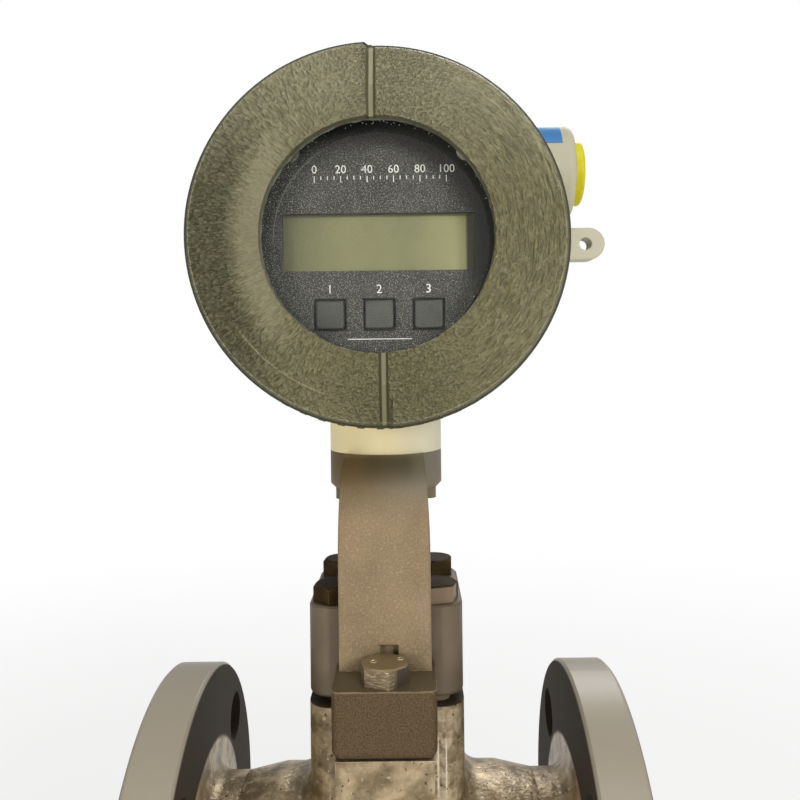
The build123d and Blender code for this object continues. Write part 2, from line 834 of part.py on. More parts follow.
# Display panel with its screen opening, three key holes and countersunk screw holes
pillar_angles = [radians(360 * (step + 0.5) / pillar_count) for step in range(pillar_count)]
pillar_places = [(pillar_reach * cos(angle), pillar_reach * sin(angle)) for angle in pillar_angles]
key_hole = key_cap + 2 * key_gap
key_flange = key_hole + 2 * key_lip
key_places = [(offset * key_pitch, -key_drop) for offset in (-1, 0, 1)]
with BuildPart() as display_panel:
    with BuildSketch(facing_front(panel_back)):
        Circle(panel_radius)
        with Locations((0, screen_rise)):
            Rectangle(screen_width, screen_height, mode=Mode.SUBTRACT)
        with Locations(*key_places):
            Rectangle(key_hole, key_hole, mode=Mode.SUBTRACT)
        with Locations(*pillar_places):
            Circle(panel_screw_radius + thread_clearance, mode=Mode.SUBTRACT)
    extrude(amount=panel_thickness)
    for x, z in pillar_places:
        with BuildSketch(facing_front(panel_front)):
            with Locations((x, z)):
                Circle(panel_screw_head_radius + thread_clearance)
        with BuildSketch(facing_front(panel_back)):
            with Locations((x, z)):
                Circle(panel_screw_radius + thread_clearance)
        loft(mode=Mode.SUBTRACT)
keep(display_panel, "display_panel")

with BuildPart() as panel_screws:
    for x, z in pillar_places:
        with BuildSketch(facing_front(panel_front)):
            with Locations((x, z)):
                Circle(panel_screw_head_radius)
        with BuildSketch(facing_front(panel_back)):
            with Locations((x, z)):
                Circle(panel_screw_radius)
        loft()
    with BuildSketch(facing_front(panel_back)):
        with Locations(*pillar_places):
            Circle(panel_screw_radius)
    extrude(amount=-(panel_screw_length - panel_thickness))
keep(panel_screws, "panel_screws")

with BuildPart() as lcd_module:
    with BuildSketch(facing_front(panel_back)):
        with Locations((0, screen_rise)):
            module_width = screen_width + 2 * module_margin
            module_height = screen_height + 2 * module_margin
            RectangleRounded(module_width, module_height, module_corner)
    extrude(amount=-panel_to_board)
keep(lcd_module, "lcd_module")

# Key caps: a crowned square cap through the panel, a retaining flange behind it, and a stem
switch_top = board_front + switch_height
key_flange_front = panel_back - key_rest_gap
for name, (x, z) in zip(("key_left", "key_middle", "key_right"), key_places):
    with BuildPart() as key:
        with BuildSketch(facing_front(key_flange_front)):
            with Locations((x, z)):
                RectangleRounded(key_cap, key_cap, key_round)
        extrude(amount=panel_front + key_proud - key_flange_front)
        fillet(key.faces().sort_by(Axis.Y)[0].edges(), key_edge)
        with BuildSketch(facing_front(key_flange_front)):
            with Locations((x, z)):
                Rectangle(key_flange, key_flange)
        extrude(amount=-key_flange_thickness)
        with BuildSketch(facing_front(key_flange_front)):
            with Locations((x, z)):
                Circle(key_stem_radius)
        extrude(amount=-(key_flange_front - switch_top - key_travel - switch_gap))
    keep(key, name)

with BuildPart() as display_board:
    with BuildSketch(facing_front(board_back)):
        Circle(board_radius)
        Rectangle(2 * board_radius, 2 * board_flat, mode=Mode.INTERSECT)
        with Locations(*pillar_places):
            Circle(panel_screw_radius, mode=Mode.SUBTRACT)
    extrude(amount=board_thickness)
keep(display_board, "display_board")

with BuildPart() as key_switches:
    with BuildSketch(facing_front(board_front)):
        with Locations(*key_places):
            Rectangle(switch_size, switch_size)
    extrude(amount=switch_height)
keep(key_switches, "key_switches")

# Round pillars that stack the panel and both boards on the partition
stages = (
    ("front_pillars", board_front, panel_to_board, panel_screw_radius + thread_clearance),
    ("middle_pillars", amplifier_front, board_to_board, 0),
    ("rear_pillars", partition_front, amplifier_back - partition_front, 0),
)
for name, start, length, hole in stages:
    with BuildPart() as pillars:
        with BuildSketch(facing_front(start)):
            with Locations(*pillar_places):
                Circle(pillar_radius)
                if hole:
                    Circle(hole, mode=Mode.SUBTRACT)
        extrude(amount=length)
    keep(pillars, name)

with BuildPart() as amplifier_board:
    with BuildSketch(facing_front(amplifier_back)):
        Circle(board_radius)
        Rectangle(2 * board_radius, 2 * board_flat, mode=Mode.INTERSECT)
    extrude(amount=board_thickness)
keep(amplifier_board, "amplifier_board")

with BuildPart() as transformer:
    for wide, tall, deep in (core_size, coil_size):
        with BuildSketch(facing_front(amplifier_front)):
            with Locations(transformer_at):
                Rectangle(wide, tall)
        extrude(amount=deep)
keep(transformer, "transformer")

with BuildPart() as capacitors:
    with BuildSketch(facing_front(amplifier_front)):
        with Locations(*capacitor_places):
            Circle(capacitor_radius)
    extrude(amount=capacitor_height)
    chamfer(capacitors.faces().sort_by(Axis.Y)[:2].edges(), capacitor_edge)
keep(capacitors, "capacitors")

with BuildPart() as circuit_chips:
    with BuildSketch(facing_front(amplifier_front)):
        for x, z, wide, tall in chip_places:
            with Locations((x, z)):
                Rectangle(wide, tall)
    extrude(amount=chip_height)
keep(circuit_chips, "circuit_chips")

# Terminal block on the partition: base with barrier ribs, and mounting holes at its ends
base_width, base_height, base_depth = block_base
terminal_row = base_width - 2 * (mounting_screw_inset + mounting_screw_head_radius + barrier_thickness)
barrier_pitch = terminal_row / (barrier_count - 1)
block_top_y = partition_back + base_depth
mounting_places = [(s * (base_width / 2 - mounting_screw_inset), -terminal_drop) for s in (-1, 1)]
with BuildPart() as terminal_block:
    with BuildSketch(facing_back(partition_back)):
        with Locations((0, -terminal_drop)):
            RectangleRounded(base_width, base_height, base_corner)
        with Locations(*mounting_places):
            Circle(mounting_screw_radius + thread_clearance, mode=Mode.SUBTRACT)
    extrude(amount=base_depth)
    with BuildSketch(facing_back(block_top_y)):
        with Locations((0, -terminal_drop)):
            with GridLocations(barrier_pitch, 0, barrier_count, 1):
                Rectangle(barrier_thickness, base_height)
    extrude(amount=barrier_height)
keep(terminal_block, "terminal_block")

with BuildPart() as terminal_screws:
    with BuildSketch(facing_back(block_top_y)):
        with Locations((0, -terminal_drop)):
            with GridLocations(barrier_pitch, 0, barrier_count - 1, 1):
                Circle(terminal_radius)
    extrude(amount=terminal_height)
    with BuildSketch(facing_back(block_top_y + terminal_height)):
        with Locations((0, -terminal_drop)):
            with GridLocations(barrier_pitch, 0, barrier_count - 1, 1):
                Rectangle(2 * terminal_radius, terminal_slot)
    extrude(amount=-terminal_slot_depth, mode=Mode.SUBTRACT)
keep(terminal_screws, "terminal_screws")

with BuildPart() as block_screws:
    with BuildSketch(facing_back(block_top_y)):
        with Locations(*mounting_places):
            Circle(mounting_screw_head_radius)
    extrude(amount=mounting_screw_head_height)
    with BuildSketch(facing_back(block_top_y)):
        with Locations(*mounting_places):
            Circle(mounting_screw_radius)
    extrude(amount=-base_depth)
keep(block_screws, "block_screws")

with BuildPart() as ground_screw:
    with BuildSketch(facing_back(partition_back)):
        with Locations(ground_screw_place):
            Circle(mounting_screw_radius)
    extrude(amount=ground_screw_height)
    with BuildSketch(facing_back(partition_back + ground_screw_height)):
        with Locations(ground_screw_place):
            Circle(mounting_screw_head_radius)
    extrude(amount=mounting_screw_head_height)
keep(ground_screw, "ground_screw")
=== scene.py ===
import math

import bpy
import numpy as np
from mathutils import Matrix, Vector


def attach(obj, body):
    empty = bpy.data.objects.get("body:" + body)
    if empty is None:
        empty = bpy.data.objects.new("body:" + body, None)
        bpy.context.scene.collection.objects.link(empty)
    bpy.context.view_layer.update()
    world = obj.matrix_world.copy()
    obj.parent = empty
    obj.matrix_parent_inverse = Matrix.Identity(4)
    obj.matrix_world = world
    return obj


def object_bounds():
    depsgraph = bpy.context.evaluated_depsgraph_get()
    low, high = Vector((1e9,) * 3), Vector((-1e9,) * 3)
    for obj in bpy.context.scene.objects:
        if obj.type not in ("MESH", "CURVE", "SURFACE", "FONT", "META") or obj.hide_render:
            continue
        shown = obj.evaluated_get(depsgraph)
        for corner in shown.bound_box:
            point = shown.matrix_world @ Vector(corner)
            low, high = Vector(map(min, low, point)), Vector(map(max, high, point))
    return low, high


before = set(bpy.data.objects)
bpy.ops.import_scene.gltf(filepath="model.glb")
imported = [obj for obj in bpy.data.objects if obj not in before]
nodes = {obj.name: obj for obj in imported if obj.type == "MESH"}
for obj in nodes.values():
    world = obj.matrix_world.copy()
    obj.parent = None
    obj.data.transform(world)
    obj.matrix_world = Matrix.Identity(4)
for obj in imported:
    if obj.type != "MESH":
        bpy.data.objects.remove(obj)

cadBox = [list(corner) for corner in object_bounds()]
mm = 0.001
headX, headZ = 85 * mm, 230.3 * mm   # the line that both covers turn about runs along y through here
print("frame loaded:", len(nodes), "nodes")


def tone(red, green, blue):   # a colour as it looks on screen, 0 to 255, to the linear value a shader takes
    linear = [((c / 255 + 0.055) / 1.055) ** 2.4 if c > 10 else c / 3295 for c in (red, green, blue)]
    return (*linear, 1)


def treeOf(*values):   # the node tree that the first socket among the values belongs to
    return next(value.id_data for value in values if isinstance(value, bpy.types.NodeSocket))


def connect(node, feed):   # links sockets to the node's inputs, and sets its other inputs to plain values
    for key, value in feed.items():
        if isinstance(value, bpy.types.NodeSocket):
            value.id_data.links.new(value, node.inputs[key])
        else:
            node.inputs[key].default_value = value


def put(tree, kind, feed=None, **settings):   # one shader node, its settings, and what feeds its inputs
    node = tree.nodes.new("ShaderNode" + kind)
    for key, value in settings.items():
        setattr(node, key, value)
    connect(node, feed or {})
    return node


def calc(operation, first, second=0.0):
    return put(treeOf(first, second), "Math", {0: first, 1: second}, operation=operation).outputs[0]


def plus(first, second):
    return calc("ADD", first, second)


def minus(first, second):
    return calc("SUBTRACT", first, second)


def times(*values):
    product = values[0]
    for value in values[1:]:
        product = calc("MULTIPLY", product, value)
    return product


def mixTone(amount, first, second, mode="MIX"):
    return put(treeOf(amount, first, second), "Mix", {0: amount, 6: first, 7: second},
               data_type="RGBA", blend_type=mode).outputs[2]


def mixValue(amount, first, second):
    return put(treeOf(amount, first, second), "Mix", {0: amount, 2: first, 3: second},
               data_type="FLOAT").outputs[0]


def step(value, low, high):   # 0 below low, 1 above high, smooth between; low above high turns it round
    return put(value.id_data, "MapRange", {0: value, 1: low, 2: high},
               interpolation_type="SMOOTHSTEP").outputs[0]


def spread(value, low, high):   # takes 0..1 to low..high
    return put(value.id_data, "MapRange", {0: value, 3: low, 4: high}).outputs[0]


def inside(value, low, high, soft):   # 1 between low and high
    return times(step(value, low - soft, low + soft), step(value, high + soft, high - soft))


def within(measures, spans):   # a mask per measure, multiplied: a pair is a step, three values are a band
    masks = [(inside if len(span) == 3 else step)(measures[name], *span) for name, span in spans.items()]
    return times(*masks)


def noise(place, scale, detail=2.0, rough=0.5, distort=0.0):
    return put(place.id_data, "TexNoise", {"Vector": place, "Scale": scale, "Detail": detail,
                                           "Roughness": rough, "Distortion": distort}).outputs[0]


def along(x=0.0, y=0.0, z=0.0):
    return put(treeOf(x, y, z), "CombineXYZ", {0: x, 1: y, 2: z}).outputs[0]


def stretch(place, shares):   # a share under 1 draws the pattern out along that axis
    return put(place.id_data, "VectorMath", {0: place, 1: shares}, operation="MULTIPLY").outputs[0]


def distance(first, second):
    return put(first.id_data, "VectorMath", {0: along(first, second)}, operation="LENGTH").outputs["Value"]


def shaded(base, shade):   # a colour made darker or paler by a number
    grey = put(shade.id_data, "CombineColor", {0: shade, 1: shade, 2: shade}).outputs[0]
    return mixTone(1.0, base, grey, "MULTIPLY")


def aboutHead(measures):   # how far a place is right of, above and away from the line the covers turn about
    measures["side"] = minus(measures["x"], headX)
    measures["up"] = minus(measures["z"], headZ)
    measures["radius"] = distance(measures["side"], measures["up"])


def threadWave(measures, pitch):   # the ridges of a thread that winds about the head's line
    turnShare = calc("DIVIDE", calc("ARCTAN2", measures["side"], measures["up"]), 2 * math.pi)
    return calc("PINGPONG", plus(calc("DIVIDE", measures["y"], pitch), turnShare), 0.5)


def newGroup(name, wants, gives):   # an empty shader group; its outputs are numbers, apart from a normal
    tree = bpy.data.node_groups.new(name, "ShaderNodeTree")
    for label, value in wants.items():
        tree.interface.new_socket(label, in_out="INPUT", socket_type="NodeSocketFloat").default_value = value
    for label in gives:
        kind = "NodeSocketVector" if label == "normal" else "NodeSocketFloat"
        tree.interface.new_socket(label, in_out="OUTPUT", socket_type=kind)
    return tree, tree.nodes.new("NodeGroupInput").outputs, tree.nodes.new("NodeGroupOutput")


def useGroup(tree, name, **feed):
    return put(tree, "Group", feed, node_tree=bpy.data.node_groups[name]).outputs


# blotches, fine grain and scattered bright grains of a cast, blasted or painted skin
# the values of a noise are its detail and roughness
grainLook = {
    "blotchNoise": (4, 0.55), "blotchStep": (0.32, 0.68), "grainNoise": (3, 0.6), "speckNoise": (1, 0.5),
    "speckFiner": 0.71, "speckTop": 0.74, "speckStep": (0, 0.08)
}
tree, want, outlet = newGroup("surfaceGrain", {"blotchScale": 60, "grainScale": 1500, "speckShare": 0.1},
                              ("blotch", "grain", "speck"))
spot = put(tree, "TexCoord").outputs["Object"]
blotches = noise(spot, want["blotchScale"], *grainLook["blotchNoise"])
speckNoise = noise(spot, times(want["grainScale"], grainLook["speckFiner"]), *grainLook["speckNoise"])
speckFloor = minus(grainLook["speckTop"], want["speckShare"])
connect(outlet, {"blotch": step(blotches, *grainLook["blotchStep"]),
                 "grain": noise(spot, want["grainScale"], *grainLook["grainNoise"]),
                 "speck": step(minus(speckNoise, speckFloor), *grainLook["speckStep"])})

# an edge worn by handling: where the rounded normal leaves the flat one, broken up by noise
edgeLook = {"samples": 6, "bend": (0.01, 0.2), "breakUp": (300, 3), "breakStep": (0.3, 0.6)}
tree, want, outlet = newGroup("wornEdge", {"width": 0.4 * mm}, ("mask", "normal"))
rounded = put(tree, "Bevel", {"Radius": want["width"]}, samples=edgeLook["samples"]).outputs[0]
flat = put(tree, "NewGeometry").outputs["Normal"]
alike = put(tree, "VectorMath", {0: rounded, 1: flat}, operation="DOT_PRODUCT").outputs["Value"]
breakUp = noise(put(tree, "TexCoord").outputs["Object"], *edgeLook["breakUp"])
worn = times(step(minus(1, alike), *edgeLook["bend"]), step(breakUp, *edgeLook["breakStep"]))
connect(outlet, {"normal": rounded, "mask": worn})

# dust that gathers where two faces meet, and painted shade there
creviceLook = {"samples": 6, "openStep": (0.75, 0.2)}
tree, want, outlet = newGroup("creviceShade", {"reach": 4 * mm}, ("mask",))
openSky = put(tree, "AmbientOcclusion", {"Distance": want["reach"]},
              samples=creviceLook["samples"]).outputs["AO"]
connect(outlet, {"mask": step(openSky, *creviceLook["openStep"])})

# marks of a lathe: fine rings at the radius that is fed in, uneven in depth
latheLook = {"waveShare": 0.3, "uneven": (2500, 2)}
tree, want, outlet = newGroup("turnedMarks", {"radius": 0.05, "pitch": 0.4 * mm}, ("height",))
ringWave = calc("SINE", times(calc("DIVIDE", want["radius"], want["pitch"]), 2 * math.pi))
uneven = noise(along(want["radius"]), *latheLook["uneven"])
connect(outlet, {"height": plus(times(ringWave, latheLook["waveShare"]), uneven)})

# wrinkle paint of the covers, worked out in angle and radius about the head's line: short dashes that run
# outwards at the left and along the rim at the right, with small lumps between; the grooves are smooth
# only the front cover has the calm strip by the window with a painted sheen, the far left painted darker as
# shade, and the bright streaks; on both, the upper part is painted paler as light, and the grooves' walls
# are painted dark as shade and their floors pale as light
onFront = {"y": (1 * mm, -1 * mm)}
wrinkleLook = {
    "arcRadius": 48 * mm, "wrinkleNoise": (0.5, 0.5, 0.5), "outwards": (0.5, 1, 1), "alongRim": (1, 1, 0.32),
    "left": (2 * mm, -30 * mm), "right": (8 * mm, 38 * mm), "rimMost": 0.8, "upper": (12 * mm, 50 * mm),
    "calm": {**onFront, "side": (-22 * mm, -34 * mm), "radius": (47 * mm, 38 * mm)},
    "calmSmooth": 0.75,
    "farLeft": {**onFront, "side": (-24 * mm, -44 * mm), "radius": (40 * mm, 47 * mm)},
    "streakStretch": (1, 0, 0.05), "streakNoise": (620, 1.5), "streakStep": (0.54, 0.62),
    "streakPlace": {"radius": (51 * mm, 56 * mm, 1 * mm), "side": (8 * mm, 20 * mm),
                    "up": (4 * mm, 18 * mm)},
    "lowArc": {"radius": (49.4 * mm, 49.9 * mm, 0.2 * mm), "side": (-40 * mm, -16 * mm, 4 * mm),
               "up": (-18 * mm, -28 * mm)},
    "groove": {"radius": (31.8 * mm, 32.2 * mm), "across": (0, 2.9 * mm, 0.1 * mm)},
    "grooveFloor": {"radius": (31.8 * mm, 32.2 * mm), "across": (0.8 * mm, 2.1 * mm, 0.15 * mm)},
    "ridgeStretch": (1, 0, 0.07), "ridgeNoise": (820, 0.5), "ridgeStep": (0.62, 0.74), "ridgeHeight": 0.25,
    "smoothHeight": 0.5
}
tree, want, outlet = newGroup("wrinkleSkin", {"dashScale": 1130, "lumpScale": 1250},
                              ("height", "streak", "farLeft", "upper", "calm", "grooveWall", "grooveFloor"))
whole = put(tree, "TexCoord").outputs["Object"]
here = dict(zip("xyz", put(tree, "SeparateXYZ", {0: whole}).outputs))
aboutHead(here)
arc = times(calc("ARCTAN2", here["side"], here["up"]), wrinkleLook["arcRadius"])
unrolled = along(here["radius"], here["y"], arc)
outwardDashes = noise(stretch(unrolled, wrinkleLook["outwards"]), want["dashScale"],
                      *wrinkleLook["wrinkleNoise"])
rimDashes = noise(stretch(unrolled, wrinkleLook["alongRim"]), want["dashScale"],
                  *wrinkleLook["wrinkleNoise"])
lumps = noise(whole, want["lumpScale"], *wrinkleLook["wrinkleNoise"])
wrinkled = mixValue(step(here["side"], *wrinkleLook["left"]), lumps, outwardDashes)
rightShare = step(here["side"], *wrinkleLook["right"])
wrinkled = mixValue(spread(rightShare, 0.0, wrinkleLook["rimMost"]), wrinkled, rimDashes)
calm = within(here, wrinkleLook["calm"])
streaks = step(noise(stretch(unrolled, wrinkleLook["streakStretch"]), *wrinkleLook["streakNoise"]),
               *wrinkleLook["streakStep"])
streaks = calc("MAXIMUM", times(streaks, within(here, wrinkleLook["streakPlace"])),
               within(here, wrinkleLook["lowArc"]))
# from one wall of a groove to the other, the same way round in all four grooves
here["across"] = times(here["side"], calc("SIGN", here["up"]), calc("SIGN", here["y"]))
groove = within(here, wrinkleLook["groove"])
grooveFloor = within(here, wrinkleLook["grooveFloor"])
smooth = calc("MAXIMUM", groove, spread(calm, 0.0, wrinkleLook["calmSmooth"]))
longRidge = step(noise(stretch(unrolled, wrinkleLook["ridgeStretch"]), *wrinkleLook["ridgeNoise"]),
                 *wrinkleLook["ridgeStep"])
wrinkled = mixValue(smooth, wrinkled, wrinkleLook["smoothHeight"])
longRidge = times(longRidge, rightShare, wrinkleLook["ridgeHeight"])
connect(outlet, {"height": plus(wrinkled, longRidge), "streak": times(within(here, onFront), streaks),
                 "farLeft": within(here, wrinkleLook["farLeft"]), "calm": calm,
                 "upper": step(here["up"], *wrinkleLook["upper"]),
                 "grooveWall": minus(groove, grooveFloor), "grooveFloor": grooveFloor})
print("shader groups made:", len(bpy.data.node_groups))

# what a material has where its own look says nothing else
usualLook = {
    "blotchScale": 60, "grainScale": 1500, "grainTone": 0.1, "blotchHeight": 0.0, "grainHeight": 0.02 * mm,
    "speckShare": 0.1, "speckAmount": 0.6, "edgeWidth": 0.3 * mm, "edgeAmount": 0.5, "dustShadeReach": 4 * mm,
    "dustAmount": 0.5, "metal": 0.0, "specular": 0.5
}


def startFinish(name, ownLook):   # a material's common layers: blotches, grain, specks, worn edges, crevice dust with painted shade
    look = {**usualLook, **ownLook}
    material = bpy.data.materials.new(name)
    material.use_nodes = True
    tree = material.node_tree
    place = put(tree, "TexCoord").outputs["Object"]
    grain = useGroup(tree, "surfaceGrain",
                     **{key: look[key] for key in ("blotchScale", "grainScale", "speckShare")})
    edge = useGroup(tree, "wornEdge", width=look["edgeWidth"])
    crevice = useGroup(tree, "creviceShade", reach=look["dustShadeReach"])
    base = mixTone(grain["blotch"], tone(*look["dark"]), tone(*look["pale"]))
    base = shaded(base, spread(grain["grain"], 1 - look["grainTone"], 1 + look["grainTone"]))
    # the dust layer darkens crevices: dust, with painted shade where two faces meet
    for layer, mask in (("speck", grain["speck"]), ("edge", edge["mask"]), ("dust", crevice["mask"])):
        if layer in look:
            base = mixTone(times(mask, look[layer + "Amount"]), base, tone(*look[layer]))
    finish = {"material": material, "shader": tree.nodes["Principled BSDF"], "place": place, "base": base,
              "rough": spread(grain["grain"], *look["rough"]), "metal": look["metal"],
              "specular": look["specular"],
              "height": plus(times(grain["blotch"], look["blotchHeight"]),
                             times(grain["grain"], look["grainHeight"])),
              "edgeMask": edge["mask"], "normal": edge["normal"]}
    finish.update(zip("xyz", put(tree, "SeparateXYZ", {0: place}).outputs))
    return finish


# another surface on a part of the same piece: "where" is told in within(), "patches" is the scale, detail,
# roughness and distortion of a noise that breaks it up, and blend goes from the first to the second colour
def layZone(finish, zone, *masks, blend=None, height=None):
    if "where" in zone:
        masks += (within(finish, zone["where"]),)
    if "patches" in zone:
        place = stretch(finish["place"], zone["stretch"]) if "stretch" in zone else finish["place"]
        masks += (step(noise(place, *zone["patches"]), *zone["patchStep"]),)
    mask = times(*masks, zone["amount"]) if "amount" in zone else times(*masks)
    if blend is not None:
        blended = mixTone(blend, *[tone(*colour) for colour in zone["colours"]])
        finish["base"] = mixTone(mask, finish["base"], blended)
    if "colour" in zone:
        finish["base"] = mixTone(mask, finish["base"], tone(*zone["colour"]))
    for key in ("rough", "metal"):
        if key in zone:
            finish[key] = mixValue(mask, finish[key], zone[key])
    if height is not None:
        finish["height"] = mixValue(mask, finish["height"], height)


def closeFinish(finish):
    bump = put(finish["material"].node_tree, "Bump", {"Height": finish["height"], "Normal": finish["normal"],
                                                      "Strength": 1.0, "Distance": 1.0})
    connect(finish["shader"],
            {"Base Color": finish["base"], "Roughness": finish["rough"], "Metallic": finish["metal"],
             "Specular IOR Level": finish["specular"], "Normal": bump.outputs[0]})
    return finish["material"]


def plainFinish(name, look):
    return closeFinish(startFinish(name, look))


def turned(radius, pitch, deep):   # the height of lathe marks
    return times(useGroup(radius.id_data, "turnedMarks", radius=radius, pitch=pitch)["height"], deep)


def dress(material, *names):
    for name in names:
        nodes[name].data.materials.clear()
        nodes[name].data.materials.append(material)


# cast pipe body: lumpy pickled skin, turned rims and faces
# "out" is the distance from the middle along the pipe, and a pair of marks is a lathe's pitch and depth
bodyLook = {
    "dark": (110, 94, 66), "pale": (184, 164, 130), "blotchScale": 120, "grainScale": 620, "grainTone": 0.2,
    "speck": (226, 212, 186), "speckAmount": 0.4, "metal": 0.35, "rough": (0.26, 0.48),
    "blotchHeight": 0.3 * mm, "grainHeight": 0.16 * mm, "edge": (210, 198, 172), "edgeAmount": 0.6,
    "edgeWidth": 0.6 * mm, "dust": (44, 36, 24), "dustAmount": 0.7, "dustShadeReach": 7 * mm,
    "faceMarks": (0.8 * mm, 0.03 * mm), "rimMarks": (0.5 * mm, 0.02 * mm),
    "sealMarks": (0.9 * mm, 0.12 * mm),
    # the flange's inner face is painted dark as shade
    "shadedInnerFace": {"colour": (46, 36, 19), "rough": 0.85, "metal": 0.0,
                  "where": {"out": (63.5 * mm, 66 * mm), "radius": (48 * mm, 50 * mm)}},
    "pit": {"colour": (84, 68, 48), "where": {"out": (64.3 * mm, 63.7 * mm)}, "patches": (620, 1, 0.5, 0.2),
            "patchStep": (0.3, 0.26)},
    "pitDeep": 0.2 * mm,
    # the pad's top in the gap under the block is painted dark as shadow
    "seat": {"colour": (52, 37, 17), "rough": 0.8, "metal": 0.0,
             "where": {"z": (74.5 * mm, 74.9 * mm), "out": (28.3 * mm, 27.7 * mm)}},
    # rubbed patches at the pad's top right edge, painted pale also as the highlight on that lit edge
    "rubbedSheen": {"colour": (206, 188, 158), "rough": 0.3, "amount": 0.75,
               "where": {"x": (100 * mm, 110 * mm, 2 * mm), "y": (-15 * mm, -22 * mm),
                         "z": (74 * mm, 73 * mm)},
               "patches": (260, 3, 0.6), "patchStep": (0.4, 0.62)},
    # two thin bright vertical lines on the pad's front are painted glints
    "glintLines": ((102.0 * mm, 102.6 * mm, 0.3 * mm), (104.9 * mm, 105.3 * mm, 0.2 * mm)),
    "paintedGlint": {"colour": (236, 224, 202), "rough": 0.2,
               "where": {"y": (-20 * mm, -24 * mm), "z": (45 * mm, 63 * mm, 3 * mm)}},
    "rim": {"colour": (160, 151, 134), "rough": 0.38,
            "where": {"out": (65.2 * mm, 65.7 * mm), "radius": (74.9 * mm, 75.6 * mm)}},
    "outerFace": {"colour": (120, 108, 88), "rough": 0.4, "where": {"out": (82.8 * mm, 83.3 * mm)}},
    "raisedFace": {"colour": (176, 168, 150), "rough": 0.32, "where": {"out": (84.6 * mm, 84.9 * mm)}},
    "bore": {"colour": (120, 108, 88), "rough": 0.3, "where": {"radius": (25.6 * mm, 25.2 * mm)}}
}
finish = startFinish("castBody", bodyLook)
finish["out"] = calc("ABSOLUTE", minus(finish["x"], headX))
finish["radius"] = distance(finish["y"], finish["z"])
faceMarks = turned(finish["radius"], *bodyLook["faceMarks"])
rimMarks = turned(finish["x"], *bodyLook["rimMarks"])
layZone(finish, bodyLook["shadedInnerFace"], height=faceMarks)
layZone(finish, bodyLook["pit"], height=-bodyLook["pitDeep"])
layZone(finish, bodyLook["seat"], height=0.0)
layZone(finish, bodyLook["rubbedSheen"])
layZone(finish, bodyLook["paintedGlint"],
        calc("MAXIMUM", *[inside(finish["x"], *line) for line in bodyLook["glintLines"]]))
layZone(finish, bodyLook["rim"], height=rimMarks)
layZone(finish, bodyLook["outerFace"], height=faceMarks)
layZone(finish, bodyLook["raisedFace"], height=turned(finish["radius"], *bodyLook["sealMarks"]))
layZone(finish, bodyLook["bore"], height=rimMarks)
dress(closeFinish(finish), "meter_body")

# bracket: shot-blasted casting, warm brown, darker at the foot
bracketLook = {
    "dark": (136, 117, 88), "pale": (150, 130, 99), "grainTone": 0.5, "speck": (186, 164, 128),
    "speckAmount": 0.25, "speckShare": 0.16, "metal": 0.2, "rough": (0.5, 0.72), "blotchHeight": 0.06 * mm,
    "grainHeight": 0.05 * mm, "edge": (178, 156, 118), "edgeAmount": 0.5, "edgeWidth": 0.5 * mm,
    "dust": (48, 39, 24), "dustAmount": 0.75, "dustShadeReach": 6 * mm, "grit": (1900, 2, 0.6),
    "gritStep": (0.36, 0.64), "gritHeight": 0.3 * mm,
    # the foot is darker than the leg, in gritty patches, and its top face darker still
    "darkerFoot": {"colours": ((68, 52, 28), (100, 80, 50)), "rough": 0.62,
               "where": {"z": (89.9 * mm, 89.2 * mm)}},
    "darkerFootTop": {"colour": (98, 86, 62), "rough": 0.45, "where": {"z": (89.7 * mm, 90.1 * mm, 0.1 * mm)}},
    # a painted highlight along the worn top edge of the foot
    "footEdgeHighlight": {"colour": (178, 156, 118), "amount": 0.85,
              "where": {"edgeMask": (0.2, 0.7), "z": (88.6 * mm, 90.2 * mm, 0.3 * mm)}},
    # the collar is painted darker and browner at the left and greyer and paler at the right, as painted
    # shade and light
    "collar": {"colours": ((102, 83, 50), (122, 115, 98)), "where": {"z": (136 * mm, 157 * mm)}},
    "collarTurn": (74 * mm, 98 * mm),
    # the front middle of the collar is painted dark as the shadow under the cover
    "collarMiddle": {"colour": (78, 70, 44), "amount": 0.7,
                     "where": {"x": (78 * mm, 95 * mm, 3 * mm), "z": (154 * mm, 166 * mm, 5 * mm)}},
    # the leg's rounded side edges on its front are painted darker as shade
    "legFlank": {"colour": (128, 111, 82), "amount": 0.7,
                 "where": {"out": (14.4 * mm, 15.1 * mm), "y": (-33.4 * mm, -33.8 * mm),
                           "z": (97 * mm, 146 * mm, 1 * mm)}},
    "relief": {"colour": (128, 111, 82),
               "where": {"x": (83.2 * mm, 89.6 * mm, 0.1 * mm), "y": (-33.8 * mm, -29 * mm, 0.1 * mm),
                         "z": (89 * mm, 101 * mm, 0.3 * mm)}}
}
finish = startFinish("castBracket", bracketLook)
finish["out"] = calc("ABSOLUTE", minus(finish["x"], headX))
grit = noise(finish["place"], *bracketLook["grit"])
layZone(finish, bracketLook["darkerFoot"], blend=step(grit, *bracketLook["gritStep"]),
        height=times(grit, bracketLook["gritHeight"]))
layZone(finish, bracketLook["darkerFootTop"], height=0.0)
layZone(finish, bracketLook["footEdgeHighlight"])
layZone(finish, bracketLook["collar"], blend=step(finish["x"], *bracketLook["collarTurn"]))
for zone in ("collarMiddle", "legFlank", "relief"):
    layZone(finish, bracketLook[zone])
dress(closeFinish(finish), "bracket")

# shedder block: machined and blasted stainless, wiped up and down
blockLook = {
    "dark": (100, 86, 68), "pale": (114, 100, 82), "blotchScale": 38, "grainScale": 900, "grainTone": 0.08,
    "metal": 0.3, "rough": (0.42, 0.55), "edge": (156, 142, 118), "edgeAmount": 0.35, "edgeWidth": 0.5 * mm,
    "dust": (46, 38, 26), "dustAmount": 0.55, "dustShadeReach": 5 * mm, "wipe": (260, 3),
    "wipeStretch": (1, 1, 0.08), "wipeRough": (-0.1, 0.1)
}
finish = startFinish("shedderSteel", blockLook)
wipe = noise(stretch(finish["place"], blockLook["wipeStretch"]), *blockLook["wipe"])
finish["rough"] = plus(finish["rough"], spread(wipe, *blockLook["wipeRough"]))
dress(closeFinish(finish), "shedder_bar")
